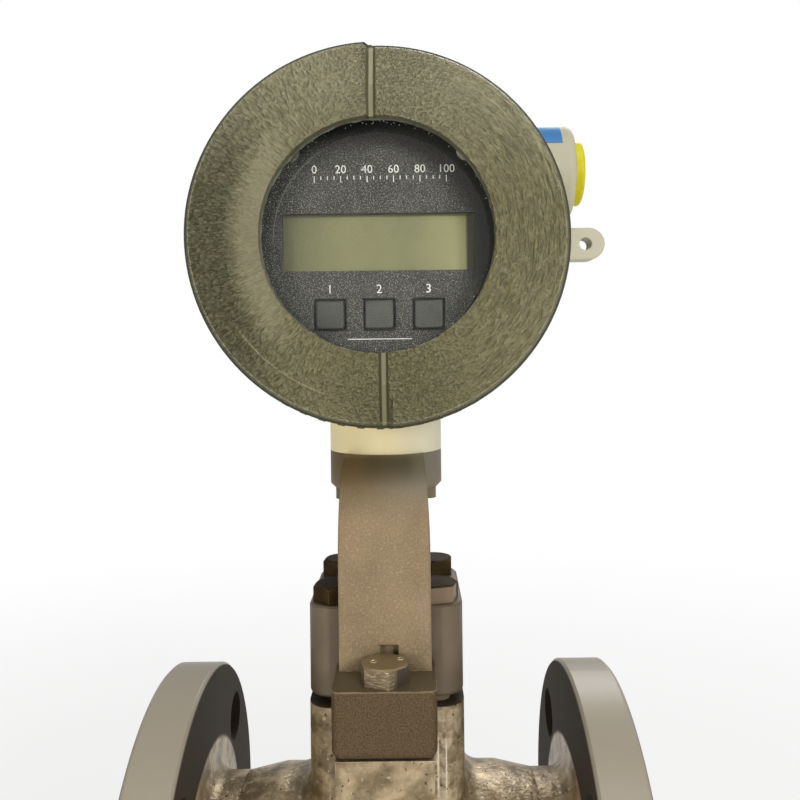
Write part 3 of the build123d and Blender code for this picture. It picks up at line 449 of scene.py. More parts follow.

# hex bolts: forged heads with a bright, handled rim
# the front foot bolt is scraped at its left, its smooth right face is painted dark as shade, and its top is
# painted paler as light
frontHead = {"y": (-34 * mm, -35 * mm), "z": (90.2 * mm, 95.6 * mm, 0.2 * mm)}
boltLook = {
    "dark": (98, 84, 61), "pale": (120, 105, 79), "blotchScale": 160, "grainScale": 1400, "grainTone": 0.16,
    "metal": 0.4, "rough": (0.3, 0.48), "blotchHeight": 0.05 * mm, "edge": (220, 207, 178),
    "edgeAmount": 0.7, "edgeWidth": 0.4 * mm, "dust": (40, 32, 20), "dustAmount": 0.6, "dustShadeReach": 3 * mm,
    "scraped": {"colour": (200, 184, 154), "rough": 0.25, "amount": 0.5, "stretch": (0.3, 0.3, 2.0),
                "where": {**frontHead, "x": (88.6 * mm, 88.2 * mm)}, "patches": (1250, 3, 0.6, 0.3),
                "patchStep": (0.46, 0.68)},
    # the right face of the front head is painted dark as shade
    "smooth": {"colour": (62, 53, 38), "rough": 0.5, "metal": 0.1,
               "where": {**frontHead, "x": (88.8 * mm, 89.3 * mm)}},
    # the top of the front head is painted paler as light
    "top": {"colour": (146, 127, 94), "amount": 0.9, "where": {**frontHead, "z": (95.5 * mm, 95.8 * mm)}}
}
finish = startFinish("boltSteel", boltLook)
for zone in ("scraped", "smooth", "top"):
    layZone(finish, boltLook[zone])
dress(closeFinish(finish), "foot_bolts", "collar_screws")

# block bolts: dark brown heads, their darkness partly painted shade, and the front of the right one painted
# brighter as a highlight
blockBoltLook = {
    "dark": (44, 31, 11), "pale": (68, 52, 27), "blotchScale": 120, "grainScale": 1200, "grainTone": 0.16,
    "specular": 0.12, "rough": (0.6, 0.74), "blotchHeight": 0.05 * mm, "edge": (150, 134, 108),
    "edgeAmount": 0.6, "edgeWidth": 0.4 * mm, "dust": (30, 23, 14), "dustAmount": 0.7, "dustShadeReach": 3 * mm,
    # the front of the right head is painted pale as a highlight, on rubbed metal
    "rubbedSheen": {"colour": (140, 122, 100), "rough": 0.34, "amount": 0.8,
               "where": {"x": (98 * mm, 101 * mm), "y": (-17 * mm, -19 * mm),
                         "z": (114.6 * mm, 114.2 * mm)}}
}
finish = startFinish("blockBoltSteel", blockBoltLook)
layZone(finish, blockBoltLook["rubbedSheen"])
dress(closeFinish(finish), "shedder_bolts")

# turned parts and small screws
turnedLook = {
    "dark": (130, 126, 118), "pale": (158, 154, 146), "blotchScale": 80, "grainScale": 1200,
    "grainTone": 0.06, "metal": 0.9, "rough": (0.24, 0.4), "edge": (214, 210, 200), "edgeAmount": 0.6,
    "dust": (44, 38, 30), "marks": (0.35 * mm, 0.012 * mm)
}
finish = startFinish("turnedSteel", turnedLook)
finish["height"] = turned(finish["z"], *turnedLook["marks"])
dress(closeFinish(finish), "sensor_gland", "lead_tube", "piezo_sensor")

screwLook = {
    "dark": (142, 138, 128), "pale": (176, 172, 160), "blotchScale": 300, "grainScale": 2500, "metal": 0.85,
    "rough": (0.28, 0.42), "grainHeight": 0.01 * mm, "edge": (226, 222, 208), "edgeAmount": 0.6,
    "edgeWidth": 0.15 * mm, "dust": (50, 44, 34), "dustAmount": 0.6, "dustShadeReach": 1.5 * mm
}
dress(plainFinish("screwSteel", screwLook), "panel_screws", "terminal_screws", "block_screws",
      "ground_screw")
print("steel dressed")

# gasket, rubber and sealant
gasketLook = {
    "dark": (38, 26, 12), "pale": (58, 44, 26), "blotchScale": 220, "grainScale": 1800, "grainTone": 0.3,
    "rough": (0.85, 0.95), "specular": 0.05, "grainHeight": 0.05 * mm, "edge": (70, 60, 46),
    "edgeAmount": 0.3
}
dress(plainFinish("gasketFibre", gasketLook), "shedder_gasket")
rubberLook = {
    "dark": (22, 22, 22), "pale": (36, 36, 35), "blotchScale": 150, "grainTone": 0.15, "rough": (0.45, 0.65),
    "grainHeight": 0.015 * mm, "dust": (74, 70, 60), "dustAmount": 0.25
}
dress(plainFinish("sealRubber", rubberLook), "front_o_ring", "rear_o_ring")
sealantLook = {
    "dark": (78, 84, 72), "pale": (126, 132, 118), "blotchScale": 260, "grainScale": 900, "grainTone": 0.15,
    "rough": (0.3, 0.55), "blotchHeight": 0.15 * mm, "grainHeight": 0.05 * mm
}
sealantFinish = plainFinish("paleSealant", sealantLook)
dress(sealantFinish, "glass_seal")

# cream paint of the housing, bare where it is threaded or bored; the neck is painted paler as light, warm at
# its left and cooler at its right
creamLook = {
    "dark": (192, 187, 162), "pale": (203, 198, 174), "blotchScale": 22, "grainScale": 2200,
    "grainTone": 0.05, "rough": (0.42, 0.58), "grainHeight": 0.025 * mm, "blotchHeight": 0.05 * mm,
    "edge": (214, 210, 190), "edgeAmount": 0.4, "edgeWidth": 0.8 * mm, "dust": (128, 116, 86),
    "dustAmount": 0.45, "dustShadeReach": 3 * mm,
    # the neck painted paler as light, warm at the left and cooler at the right
    "neck": {"colours": ((252, 237, 188), (220, 213, 186)), "where": {"z": (184 * mm, 170 * mm)}},
    "neckTurn": (80 * mm, 102 * mm),
    "bare": {"colour": (158, 158, 155), "rough": 0.36, "metal": 0.9},
    "bareMarks": (0.3 * mm, 0.012 * mm),
    "spigot": {"depth": (38.3 * mm, 38.7 * mm), "radius": (52.5 * mm, 51.5 * mm)},
    "bored": {"radius": (45.6 * mm, 45.2 * mm), "z": (181 * mm, 183 * mm)},
    "thread": {"where": {"depth": (40.5 * mm, 48.6 * mm, 0.3 * mm), "radius": (48.6 * mm, 49 * mm)}},
    "threadPitch": 2 * mm, "threadDeep": 1.4 * mm, "entryCentre": (15 * mm, 263.35 * mm),
    "entry": {"entryRadius": (11.8 * mm, 11.4 * mm), "x": (120 * mm, 122 * mm)},
    "entryPitch": 1.5 * mm, "entryDeep": 1.2 * mm
}
finish = startFinish("creamPaint", creamLook)
aboutHead(finish)
finish["depth"] = calc("ABSOLUTE", finish["y"])
layZone(finish, creamLook["neck"], blend=step(finish["x"], *creamLook["neckTurn"]))
bareMetal = calc("MAXIMUM", within(finish, creamLook["spigot"]), within(finish, creamLook["bored"]))
layZone(finish, creamLook["bare"], bareMetal, height=turned(finish["y"], *creamLook["bareMarks"]))
layZone(finish, creamLook["thread"],
        height=times(threadWave(finish, creamLook["threadPitch"]), creamLook["threadDeep"]))
entryY, entryZ = creamLook["entryCentre"]
finish["entryRadius"] = distance(minus(finish["y"], entryY), minus(finish["z"], entryZ))
entryWave = calc("PINGPONG", calc("DIVIDE", finish["x"], creamLook["entryPitch"]), 0.5)
layZone(finish, creamLook["bare"], within(finish, creamLook["entry"]),
        height=times(entryWave, creamLook["entryDeep"]))
dress(closeFinish(finish), "housing")

# olive wrinkle paint of both covers
oliveLook = {
    "dark": (102, 97, 65), "pale": (114, 109, 77), "blotchScale": 26, "grainScale": 2600,
    "rough": (0.32, 0.44), "grainHeight": 0.01 * mm, "edge": (166, 161, 128), "edgeAmount": 0.6,
    "edgeWidth": 0.5 * mm, "dust": (40, 38, 22), "dustAmount": 0.85, "dustShadeReach": 1.8 * mm, "specular": 0.45,
    # the far left of the front cover is painted darker as shade
    "farLeft": {"colour": (66, 64, 38), "amount": 0.8},
    # the calm strip by the window is painted paler as a sheen
    "calm": {"colour": (124, 120, 94), "amount": 0.6},
    # the upper part is painted paler as light
    "upper": {"colour": (140, 136, 109), "amount": 0.7},
    "streak": {"colour": (156, 151, 121), "amount": 0.6},
    # groove walls are painted dark as shade, groove floors painted pale as light
    "grooveWall": {"colour": (52, 50, 32), "amount": 0.6},
    "grooveFloor": {"colour": (142, 138, 108), "amount": 0.5},
    "shadeStep": (0.28, 0.72), "shade": (0.78, 1.2), "wrinkleDeep": 2.1 * mm, "streakHeight": 0.2 * mm,
    # the cover's outer side is painted darker as shade
    "side": {"colour": (70, 69, 45), "rough": 0.8,
             "where": {"radius": (56.6 * mm, 57.1 * mm), "depth": (54 * mm, 57 * mm)}},
    # a thin bright line near the rim is a painted highlight
    "rimHighlightLine": {"colour": (164, 160, 128), "amount": 0.5,
                "where": {"radius": (55.85 * mm, 56.2 * mm, 0.1 * mm)}},
    "bore": {"colour": (150, 150, 147), "rough": 0.36, "metal": 0.9,
             "where": {"radius": (52.3 * mm, 51.9 * mm), "depth": (60 * mm, 59.6 * mm)}},
    "threadPitch": 2 * mm, "threadDeep": 1.2 * mm
}
finish = startFinish("olivePaint", oliveLook)
aboutHead(finish)
finish["depth"] = calc("ABSOLUTE", finish["y"])
wrinkle = useGroup(finish["material"].node_tree, "wrinkleSkin")
for zone in ("farLeft", "calm", "upper"):
    layZone(finish, oliveLook[zone], wrinkle[zone])
skinShade = spread(step(wrinkle["height"], *oliveLook["shadeStep"]), *oliveLook["shade"])
finish["base"] = shaded(finish["base"], skinShade)
skinHeight = plus(times(wrinkle["height"], oliveLook["wrinkleDeep"]),
                  times(wrinkle["streak"], oliveLook["streakHeight"]))
finish["height"] = plus(finish["height"], skinHeight)
for zone in ("streak", "grooveWall", "grooveFloor"):
    layZone(finish, oliveLook[zone], wrinkle[zone])
layZone(finish, oliveLook["side"])
layZone(finish, oliveLook["rimHighlightLine"])
layZone(finish, oliveLook["bore"],
        height=times(threadWave(finish, oliveLook["threadPitch"]), oliveLook["threadDeep"]))
dress(closeFinish(finish), "front_cover", "rear_cover")
print("paint dressed")

# plastics and films
labelLook = {
    "dark": (56, 124, 186), "pale": (72, 140, 202), "blotchScale": 30, "grainScale": 1200, "grainTone": 0.04,
    "rough": (0.3, 0.42), "grainHeight": 0.004 * mm, "blotchHeight": 0.03 * mm, "edge": (150, 186, 216),
    "edgeAmount": 0.6, "edgeWidth": 0.15 * mm
}
dress(plainFinish("blueFilm", labelLook), "boss_label")
plugLook = {
    "dark": (212, 200, 12), "pale": (226, 216, 34), "blotchScale": 50, "grainScale": 1200, "grainTone": 0.04,
    "specular": 0.25, "rough": (0.3, 0.42), "grainHeight": 0.006 * mm, "edge": (236, 230, 90),
    "edgeAmount": 0.4, "edgeWidth": 0.5 * mm, "dust": (140, 126, 12), "dustShadeReach": 3 * mm, "glow": 0.15,
    "glowReach": (2 * mm, 1.5 * mm, 0.3 * mm)
}
finish = startFinish("yellowPlastic", plugLook)
connect(finish["shader"],
        {"Subsurface Weight": plugLook["glow"], "Subsurface Radius": plugLook["glowReach"]})
dress(closeFinish(finish), "conduit_plug")

# display: speckled panel with a painted shadow at its upper right and a pale arc at its left painted as a
# reflection, screen painted darker at the left and paler at the right with two painted shadow strips, keys
# with painted highlights and shade
panelLook = {
    "dark": (33, 33, 32), "pale": (44, 44, 42), "blotchScale": 40, "grainScale": 4000, "grainTone": 0.3,
    "speck": (134, 133, 127), "speckAmount": 0.75, "speckShare": 0.17, "rough": (0.4, 0.6),
    "grainHeight": 0.01 * mm, "specular": 0.2, "edge": (96, 95, 90), "edgeAmount": 0.4,
    "edgeWidth": 0.15 * mm,
    "rimShade": {"colour": (11, 11, 10), "amount": 0.9,
                 "where": {"radius": (26.5 * mm, 32 * mm), "diagonal": (-6 * mm, 30 * mm)}},
    # a thin pale arc at the left, painted as a reflection
    "ring": {"colour": (112, 112, 106), "amount": 0.6,
             "where": {"radius": (32.6 * mm, 32.9 * mm, 0.12 * mm), "x": (70 * mm, 62 * mm),
                       "z": (226 * mm, 234 * mm)}}
}
finish = startFinish("speckledPanel", panelLook)
aboutHead(finish)
finish["diagonal"] = plus(finish["side"], finish["up"])
layZone(finish, panelLook["rimShade"])
layZone(finish, panelLook["ring"])
dress(closeFinish(finish), "display_panel")

screenLook = {
    "dark": (98, 98, 71), "pale": (105, 104, 75), "blotchScale": 55, "grainTone": 0.05, "rough": (0.4, 0.5),
    "grainHeight": 0.002 * mm, "specular": 0.2,
    # the screen is painted darker at the left and paler at the right, as light falls from the right
    "left": {"colour": (80, 80, 57), "amount": 0.8, "where": {"x": (76 * mm, 54 * mm)}},
    "right": {"colour": (134, 133, 95), "amount": 0.8, "where": {"x": (92 * mm, 116 * mm)}},
    # dark strips at the top and right are painted shadows of the opening's edges
    "upperStrip": {"colour": (60, 61, 47), "amount": 0.8, "where": {"z": (237.5 * mm, 238 * mm)}},
    "edgeStrip": {"colour": (20, 21, 11), "amount": 0.9, "where": {"x": (111.8 * mm, 112.9 * mm)}}
}
finish = startFinish("screenFace", screenLook)
for zone in ("left", "right", "upperStrip", "edgeStrip"):
    layZone(finish, screenLook[zone])
dress(closeFinish(finish), "lcd_module")

# keys: edges painted pale as highlights on their bevels, and dark where they meet the panel as painted shade
keyLook = {
    "dark": (50, 51, 48), "pale": (58, 59, 55), "blotchScale": 90, "grainScale": 1800, "grainTone": 0.05,
    "rough": (0.4, 0.52), "grainHeight": 0.008 * mm, "specular": 0.3, "edge": (132, 133, 124),
    "edgeAmount": 0.6, "edgeWidth": 0.6 * mm, "dust": (12, 12, 11), "dustAmount": 0.9, "dustShadeReach": 1.6 * mm
}
dress(plainFinish("keyPlastic", keyLook), "key_left", "key_middle", "key_right")

aluminiumLook = {
    "dark": (146, 146, 144), "pale": (170, 170, 167), "grainScale": 1800, "grainTone": 0.06, "metal": 0.9,
    "rough": (0.3, 0.45), "edge": (214, 214, 208), "marks": (0.3 * mm, 0.012 * mm)
}
finish = startFinish("bareAluminium", aluminiumLook)
aboutHead(finish)
finish["height"] = turned(finish["radius"], *aluminiumLook["marks"])
dress(closeFinish(finish), "glass_retainer")

# boards and what stands on them
boardLook = {
    "dark": (18, 84, 44), "pale": (28, 104, 58), "blotchScale": 120, "grainTone": 0.12, "rough": (0.25, 0.4),
    "grainHeight": 0.01 * mm, "edge": (150, 150, 96), "edgeAmount": 0.6, "edgeWidth": 0.25 * mm,
    "track": {"colour": (52, 132, 74)},
    "trackPitch": 2.54 * mm, "trackWidth": (0.3, 0.36, 0.02), "trackHeight": 0.04 * mm
}
finish = startFinish("greenBoard", boardLook)
trackCell = put(finish["material"].node_tree, "TexVoronoi",
                {"Vector": finish["place"], "Scale": 1 / boardLook["trackPitch"]},
                feature="F1", distance="CHEBYCHEV").outputs["Distance"]
layZone(finish, boardLook["track"], inside(trackCell, *boardLook["trackWidth"]),
        height=boardLook["trackHeight"])
dress(closeFinish(finish), "display_board", "amplifier_board")
blackLook = {
    "dark": (34, 34, 34), "pale": (50, 50, 49), "blotchScale": 120, "grainScale": 2200, "grainTone": 0.12,
    "rough": (0.4, 0.6), "edge": (88, 88, 84), "edgeAmount": 0.4, "edgeWidth": 0.25 * mm,
    "dust": (84, 80, 70), "dustAmount": 0.2, "dustShadeReach": 2 * mm
}
dress(plainFinish("blackMoulding", blackLook), "key_switches", "circuit_chips", "terminal_block")
brassLook = {
    "dark": (176, 158, 108), "pale": (206, 188, 136), "blotchScale": 200, "grainScale": 2000,
    "grainTone": 0.08, "metal": 0.9, "rough": (0.24, 0.38), "grainHeight": 0.01 * mm,
    "edge": (232, 218, 172), "edgeAmount": 0.6, "edgeWidth": 0.2 * mm
}
dress(plainFinish("pillarBrass", brassLook), "front_pillars", "middle_pillars", "rear_pillars")
tapeLook = {
    "dark": (186, 150, 52), "pale": (212, 178, 74), "blotchScale": 90, "grainTone": 0.08,
    "rough": (0.3, 0.45), "blotchHeight": 0.05 * mm, "edge": (226, 200, 120), "edgeAmount": 0.3,
    "lap": {"colour": (150, 118, 36)},
    "lapPitch": 5 * mm, "lapStep": (0.06, 0.0), "lapDeep": 0.08 * mm
}
finish = startFinish("coilTape", tapeLook)
lap = calc("PINGPONG", calc("DIVIDE", finish["y"], tapeLook["lapPitch"]), 0.5)
layZone(finish, tapeLook["lap"], step(lap, *tapeLook["lapStep"]), height=-tapeLook["lapDeep"])
dress(closeFinish(finish), "transformer")
sleeveLook = {
    "dark": (28, 40, 84), "pale": (40, 54, 104), "blotchScale": 120, "grainTone": 0.06, "rough": (0.2, 0.34),
    "grainHeight": 0.006 * mm, "edge": (90, 104, 150), "edgeAmount": 0.4
}
dress(plainFinish("capacitorSleeve", sleeveLook), "capacitors")
print("plastics and boards dressed")

# window: thick clear glass, smeared here and there; lampShare is how much of the lamps' light it lets in
glassLook = {
    "clear": (250, 251, 247), "smeared": (240, 241, 235), "smear": (55, 4, 0.6), "smearStep": (0.5, 0.8),
    "ior": 1.3, "rough": 0.0, "lampShare": 0.92
}
glass = bpy.data.materials.new("windowGlass")
glass.use_nodes = True
tree = glass.node_tree
smear = step(noise(put(tree, "TexCoord").outputs["Object"], *glassLook["smear"]), *glassLook["smearStep"])
lampRay = put(tree, "LightPath").outputs["Is Shadow Ray"]
connect(tree.nodes["Principled BSDF"],
        {"IOR": glassLook["ior"], "Transmission Weight": 1.0, "Roughness": glassLook["rough"],
         "Base Color": mixTone(smear, tone(*glassLook["clear"]), tone(*glassLook["smeared"])),
         "Alpha": minus(1.0, times(lampRay, glassLook["lampShare"]))})
dress(glass, "window_glass")
print("window dressed")


def ringMesh(name, points):   # a closed ring from a grid of points, one row for each section round the turn
    rows, columns = points.shape[:2]
    here = np.arange(rows * columns).reshape(rows, columns)
    right = np.roll(here, -1, 1)
    quads = np.stack([here, right, np.roll(right, -1, 0), np.roll(here, -1, 0)], -1)
    mesh = bpy.data.meshes.new(name)
    mesh.from_pydata(points.reshape(-1, 3).tolist(), [], quads.reshape(-1, 4).tolist())
    mesh.polygons.foreach_set("use_smooth", [True] * len(mesh.polygons))
    mesh.update()
    return mesh


def addPiece(name, mesh, material, body):
    piece = bpy.data.objects.new(name, mesh)
    bpy.context.scene.collection.objects.link(piece)
    mesh.materials.append(material)
    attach(piece, body)


# sealant bead at the window's edge: a ring whose round section swells and thins, least at the bottom
# radius = ring radius + section cosine, y = ring place + section sine
# section size = mean x (1 + slow waves + jagged noise) x (thinning round the turn)
beadLook = {
    "ring": 35.15 * mm, "y": -60.35 * mm, "mean": 0.4 * mm, "turns": 540, "around": 10, "seed": 4,
    "waves": (3, 7, 13, 29, 47), "waveHeight": (0.05, 0.2), "waveStart": (0, 6.3), "jagged": 0.18,
    "limits": (0.35, 1.9), "thinning": 0.35, "thinTurn": 0.5
}
dice = np.random.default_rng(beadLook["seed"])
turn = np.linspace(0, 2 * math.pi, beadLook["turns"], endpoint=False)
swelling = 1
for count in beadLook["waves"]:
    waveHeight = dice.uniform(*beadLook["waveHeight"])
    swelling = swelling + waveHeight * np.sin(count * turn + dice.uniform(*beadLook["waveStart"]))
swelling = swelling + dice.normal(0, beadLook["jagged"], len(turn))
size = beadLook["mean"] * np.clip(swelling, *beadLook["limits"])
size = size * (1 - beadLook["thinning"] + beadLook["thinning"] * np.cos(turn + beadLook["thinTurn"]))
section = np.linspace(0, 2 * math.pi, beadLook["around"], endpoint=False)
ringRadii = beadLook["ring"] + size[:, None] * np.cos(section)
ringDepth = beadLook["y"] + size[:, None] * np.sin(section)
beadPoints = np.stack([headX + ringRadii * np.sin(turn)[:, None], ringDepth,
                       headZ + ringRadii * np.cos(turn)[:, None]], -1)
addPiece("sealant_bead", ringMesh("sealantBead", beadPoints), sealantFinish, "front_lid")
print("sealant bead made")

# loose grains behind the window's edge: small eight-sided crystals, most of them gathered near the top
grainsLook = {
    "count": 46, "size": (0.10 * mm, 0.24 * mm), "ring": (33.6 * mm, 34.6 * mm), "y": -60.35 * mm, "seed": 9,
    "gathered": (0.1, 0.75), "strayEvery": 3, "squash": (0.7, 1.0), "dark": (196, 198, 188),
    "pale": (226, 228, 220), "blotchScale": 400, "grainScale": 2500, "rough": (0.3, 0.5)
}
dice = np.random.default_rng(grainsLook["seed"])
crystal = np.array([(1, 0, 0), (-1, 0, 0), (0, 1, 0), (0, -1, 0), (0, 0, 1), (0, 0, -1)], float)
crystalFaces = np.array([(0, 2, 4), (2, 1, 4), (1, 3, 4), (3, 0, 4),
                         (2, 0, 5), (1, 2, 5), (3, 1, 5), (0, 3, 5)])
grainPoints, grainFaces = [], []
for index in range(grainsLook["count"]):
    stray = index % grainsLook["strayEvery"] == 0
    turnAngle = dice.uniform(0, 2 * math.pi) if stray else dice.normal(*grainsLook["gathered"])
    away = dice.uniform(*grainsLook["ring"])
    middle = np.array([headX + away * math.sin(turnAngle), grainsLook["y"],
                       headZ + away * math.cos(turnAngle)])
    grainSize = dice.uniform(*grainsLook["size"])
    grainPoints.append(middle + crystal * grainSize * dice.uniform(*grainsLook["squash"], 3))
    grainFaces.append(crystalFaces + len(crystal) * index)
grainMesh = bpy.data.meshes.new("glassGrains")
grainMesh.from_pydata(np.concatenate(grainPoints).tolist(), [], np.concatenate(grainFaces).tolist())
addPiece("glass_grains", grainMesh, plainFinish("paleGrains", grainsLook), "front_lid")

# white print on the panel: a plain scale with numbers over the screen, a number over each key, a rule below
printLook = {
    "y": -49.64 * mm, "scaleTop": 253.6 * mm, "scaleLeft": 65.2 * mm, "scaleWidth": 41.0 * mm,
    "scaleParts": 20, "longEvery": 4, "partWorth": 5, "numberHeight": 2.5 * mm, "numberGap": 0.9 * mm,
    "tickLong": 2.0 * mm, "tickShort": 1.1 * mm, "line": 0.28 * mm, "keyRow": 213.8 * mm,
    "keyHeight": 2.7 * mm,
    "keyNumbers": {"1": 69.7 * mm, "2": 85.0 * mm, "3": 100.3 * mm},
    "ruleRow": 199.4 * mm, "ruleHalf": 10.0 * mm, "digitShare": 0.7, "dark": (176, 176, 172),
    "pale": (206, 206, 202), "blotchScale": 300, "grainScale": 2400, "grainTone": 0.15, "rough": (0.4, 0.6)
}
printPoints, printFaces = [], []


def printMesh(points, faces):   # adds flat faces, given as x and z, to the print
    start = len(printPoints)
    printPoints.extend((x, printLook["y"], z) for x, z in points)
    printFaces.extend([start + corner for corner in face] for face in faces)


def printBar(left, low, right, high):
    printMesh([(left, low), (right, low), (right, high), (left, high)], [(0, 1, 2, 3)])


def printNumber(body, middle, low, height):   # a number as a flat outline, made mesh and laid on the panel
    curve = bpy.data.curves.new("number", "FONT")
    curve.body, curve.align_x = body, "CENTER"
    curve.resolution_u = 3
    holder = bpy.data.objects.new("number", curve)
    bpy.context.scene.collection.objects.link(holder)
    flatMesh = bpy.data.meshes.new_from_object(holder.evaluated_get(bpy.context.evaluated_depsgraph_get()))
    scale = height / printLook["digitShare"]   # a digit is this share of the letter size
    printMesh([(middle + v.co.x * scale, low + v.co.y * scale) for v in flatMesh.vertices],
              [list(face.vertices) for face in flatMesh.polygons])
    bpy.data.objects.remove(holder)
    bpy.data.curves.remove(curve)
    bpy.data.meshes.remove(flatMesh)


numberRow = printLook["scaleTop"] - printLook["numberHeight"]
for tick in range(printLook["scaleParts"] + 1):
    place = printLook["scaleLeft"] + printLook["scaleWidth"] * tick / printLook["scaleParts"]
    tall = printLook["tickShort"] if tick % printLook["longEvery"] else printLook["tickLong"]
    low = numberRow - printLook["numberGap"] - tall
    printBar(place - printLook["line"] / 2, low, place + printLook["line"] / 2, low + tall)
    if tick % printLook["longEvery"] == 0:
        printNumber(str(printLook["partWorth"] * tick), place, numberRow, printLook["numberHeight"])
for number, place in printLook["keyNumbers"].items():
    printNumber(number, place, printLook["keyRow"], printLook["keyHeight"])
printBar(headX - printLook["ruleHalf"], printLook["ruleRow"],
         headX + printLook["ruleHalf"], printLook["ruleRow"] + printLook["line"])
panelPrint = bpy.data.meshes.new("panelPrint")
panelPrint.from_pydata(printPoints, [], printFaces)
addPiece("panel_print", panelPrint, plainFinish("whitePrint", printLook), "meter")

# two small raised rings on the front foot bolt's head, pale as painted reflections
# centre + (ring radius + section radius x cosine) round the turn, height = section radius x sine
markLook = {
    "ring": 1.0 * mm, "section": 0.24 * mm, "turns": 28, "around": 8, "top": 96.28 * mm,
    "places": {"left_bolt_mark": (81.5 * mm, -42.6 * mm), "right_bolt_mark": (90.0 * mm, -40.4 * mm)},
    "dark": (150, 138, 112), "pale": (214, 204, 180), "blotchScale": 500, "grainScale": 2000, "metal": 0.5,
    "rough": (0.2, 0.34)
}
turn = np.linspace(0, 2 * math.pi, markLook["turns"], endpoint=False)[:, None]
section = np.linspace(0, 2 * math.pi, markLook["around"], endpoint=False)[None, :]
markReach = markLook["ring"] + markLook["section"] * np.cos(section)
markFinish = plainFinish("glintSteel", markLook)
for name, (x, y) in markLook["places"].items():
    ring = np.stack([x + markReach * np.cos(turn), y + markReach * np.sin(turn),
                     markLook["top"] + markLook["section"] * np.sin(section) + 0 * turn], -1)
    addPiece(name, ringMesh(name, ring), markFinish, "meter")
print("grains, print and bolt marks made")

# camera of the photograph
cameraLook = {
    "lens": 38.25, "sensor": 36, "shift": (-0.0124, -0.0665), "clip": (0.01, 20),
    "place": (0.0943, -0.315, 0.197), "tilt": 90, "roll": 0.65
}
camera = bpy.data.objects.new("camera", bpy.data.cameras.new("camera"))
camera.data.lens, camera.data.sensor_width = cameraLook["lens"], cameraLook["sensor"]
camera.data.shift_x, camera.data.shift_y = cameraLook["shift"]
camera.data.clip_start, camera.data.clip_end = cameraLook["clip"]
camera.location = cameraLook["place"]
camera.rotation_euler = (math.radians(cameraLook["tilt"]), math.radians(cameraLook["roll"]), 0)
bpy.context.scene.collection.objects.link(camera)
bpy.context.scene.camera = camera

# pale floor under the flanges: white to the camera and to reflections, but keeps a soft shadow
floorLook = {"size": 12.0, "pale": (236, 236, 234), "rough": 0.8, "whiteShare": 0.72, "fade": (0.25, 0.9)}
floorMesh = bpy.data.meshes.new("floor")
half = floorLook["size"] / 2
corners = [(-half, -half), (half, -half), (half, half), (-half, half)]
floorMesh.from_pydata([(x, y, cadBox[0][2]) for x, y in corners], [], [(0, 1, 2, 3)])
floor = bpy.data.objects.new("floor", floorMesh)
bpy.context.scene.collection.objects.link(floor)
floorPaint = bpy.data.materials.new("paleFloor")
floorPaint.use_nodes = True
tree = floorPaint.node_tree
shader = tree.nodes["Principled BSDF"]
connect(shader, {"Base Color": tone(*floorLook["pale"]), "Roughness": floorLook["rough"]})
ray = put(tree, "LightPath").outputs
seen = calc("MAXIMUM", ray["Is Camera Ray"],
            calc("MAXIMUM", ray["Is Glossy Ray"], ray["Is Transmission Ray"]))
white = put(tree, "Emission", {"Color": (1, 1, 1, 1), "Strength": 1.0}).outputs[0]
spot = put(tree, "SeparateXYZ", {0: put(tree, "TexCoord").outputs["Object"]}).outputs
fade = step(distance(minus(spot[0], headX), spot[1]), *floorLook["fade"])   # pure white far from the object
whiteness = times(seen, spread(fade, floorLook["whiteShare"], 1.0))
mixed = put(tree, "MixShader", {0: whiteness, 1: shader.outputs[0], 2: white})
connect(tree.nodes["Material Output"], {0: mixed.outputs[0]})
floorMesh.materials.append(floorPaint)

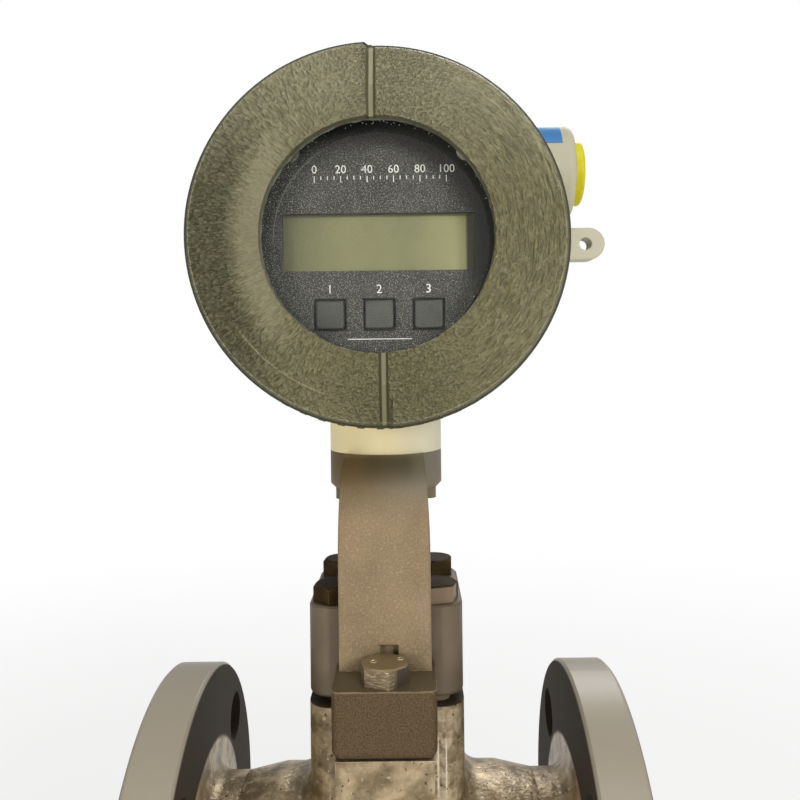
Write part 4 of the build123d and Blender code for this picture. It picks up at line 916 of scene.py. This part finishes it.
# world: white where it is seen, dimmer in mirrors, most of all toward the front, and a soft light elsewhere
worldLook = {
    "seen": 1.0, "mirroredFront": 0.2, "mirroredBack": 0.5, "frontToBack": (-0.5, 0.3), "light": 0.26
}
world = bpy.data.worlds.new("softWorld")
world.use_nodes = True
tree = world.node_tree
ray = put(tree, "LightPath").outputs
way = put(tree, "SeparateXYZ", {0: put(tree, "TexCoord").outputs["Generated"]}).outputs
mirrored = spread(step(way[1], *worldLook["frontToBack"]), worldLook["mirroredFront"],
                  worldLook["mirroredBack"])
strength = mixValue(ray["Is Glossy Ray"], worldLook["light"], mirrored)
looked = calc("MAXIMUM", ray["Is Camera Ray"], ray["Is Transmission Ray"])
connect(tree.nodes["Background"],
        {"Color": (1, 1, 1, 1), "Strength": mixValue(looked, strength, worldLook["seen"])})
bpy.context.scene.world = world

# lamps: azimuth right of the camera's line and height above it, in degrees, all aimed at the head's foot
lampLooks = {
    "keyLamp": {"azimuth": 28, "height": 15, "away": 1.3, "size": (0.22, 0.36), "power": 7.2,
                "colour": (1, 0.99, 0.97)},
    "leftLamp": {"azimuth": -26, "height": 3, "away": 1.2, "size": (0.2, 0.3), "power": 3.9,
                 "colour": (1, 0.94, 0.84)},
    "rightLamp": {"azimuth": 78, "height": 6, "away": 1.3, "size": (0.5, 0.4), "power": 0.6,
                  "colour": (0.96, 1, 1)},
    "topLamp": {"azimuth": 8, "height": 60, "away": 1.2, "size": (0.5, 0.5), "power": 3.4,
                "colour": (1, 1, 0.98)},
    "backLamp": {"azimuth": 165, "height": 35, "away": 1.3, "size": (0.6, 0.6), "power": 6.0,
                 "colour": (1, 1, 1)}
}
aim = np.array([0.085, -0.03, 0.19])
for name, look in lampLooks.items():
    lamp = bpy.data.lights.new(name, "AREA")
    lamp.shape, lamp.size, lamp.size_y = "RECTANGLE", *look["size"]
    lamp.energy, lamp.color = look["power"], look["colour"]
    turnAngle, riseAngle = math.radians(look["azimuth"]), math.radians(look["height"])
    level = math.cos(riseAngle)
    way = np.array([math.sin(turnAngle) * level, -math.cos(turnAngle) * level, math.sin(riseAngle)])
    holder = bpy.data.objects.new(name, lamp)
    holder.location = aim + way * look["away"]
    bpy.context.scene.collection.objects.link(holder)
    holder.rotation_mode = "QUATERNION"
    holder.rotation_quaternion = Vector(way).to_track_quat("Z", "Y")
bpy.context.scene.view_settings.view_transform = "Standard"
print("camera, floor, world and lamps placed")
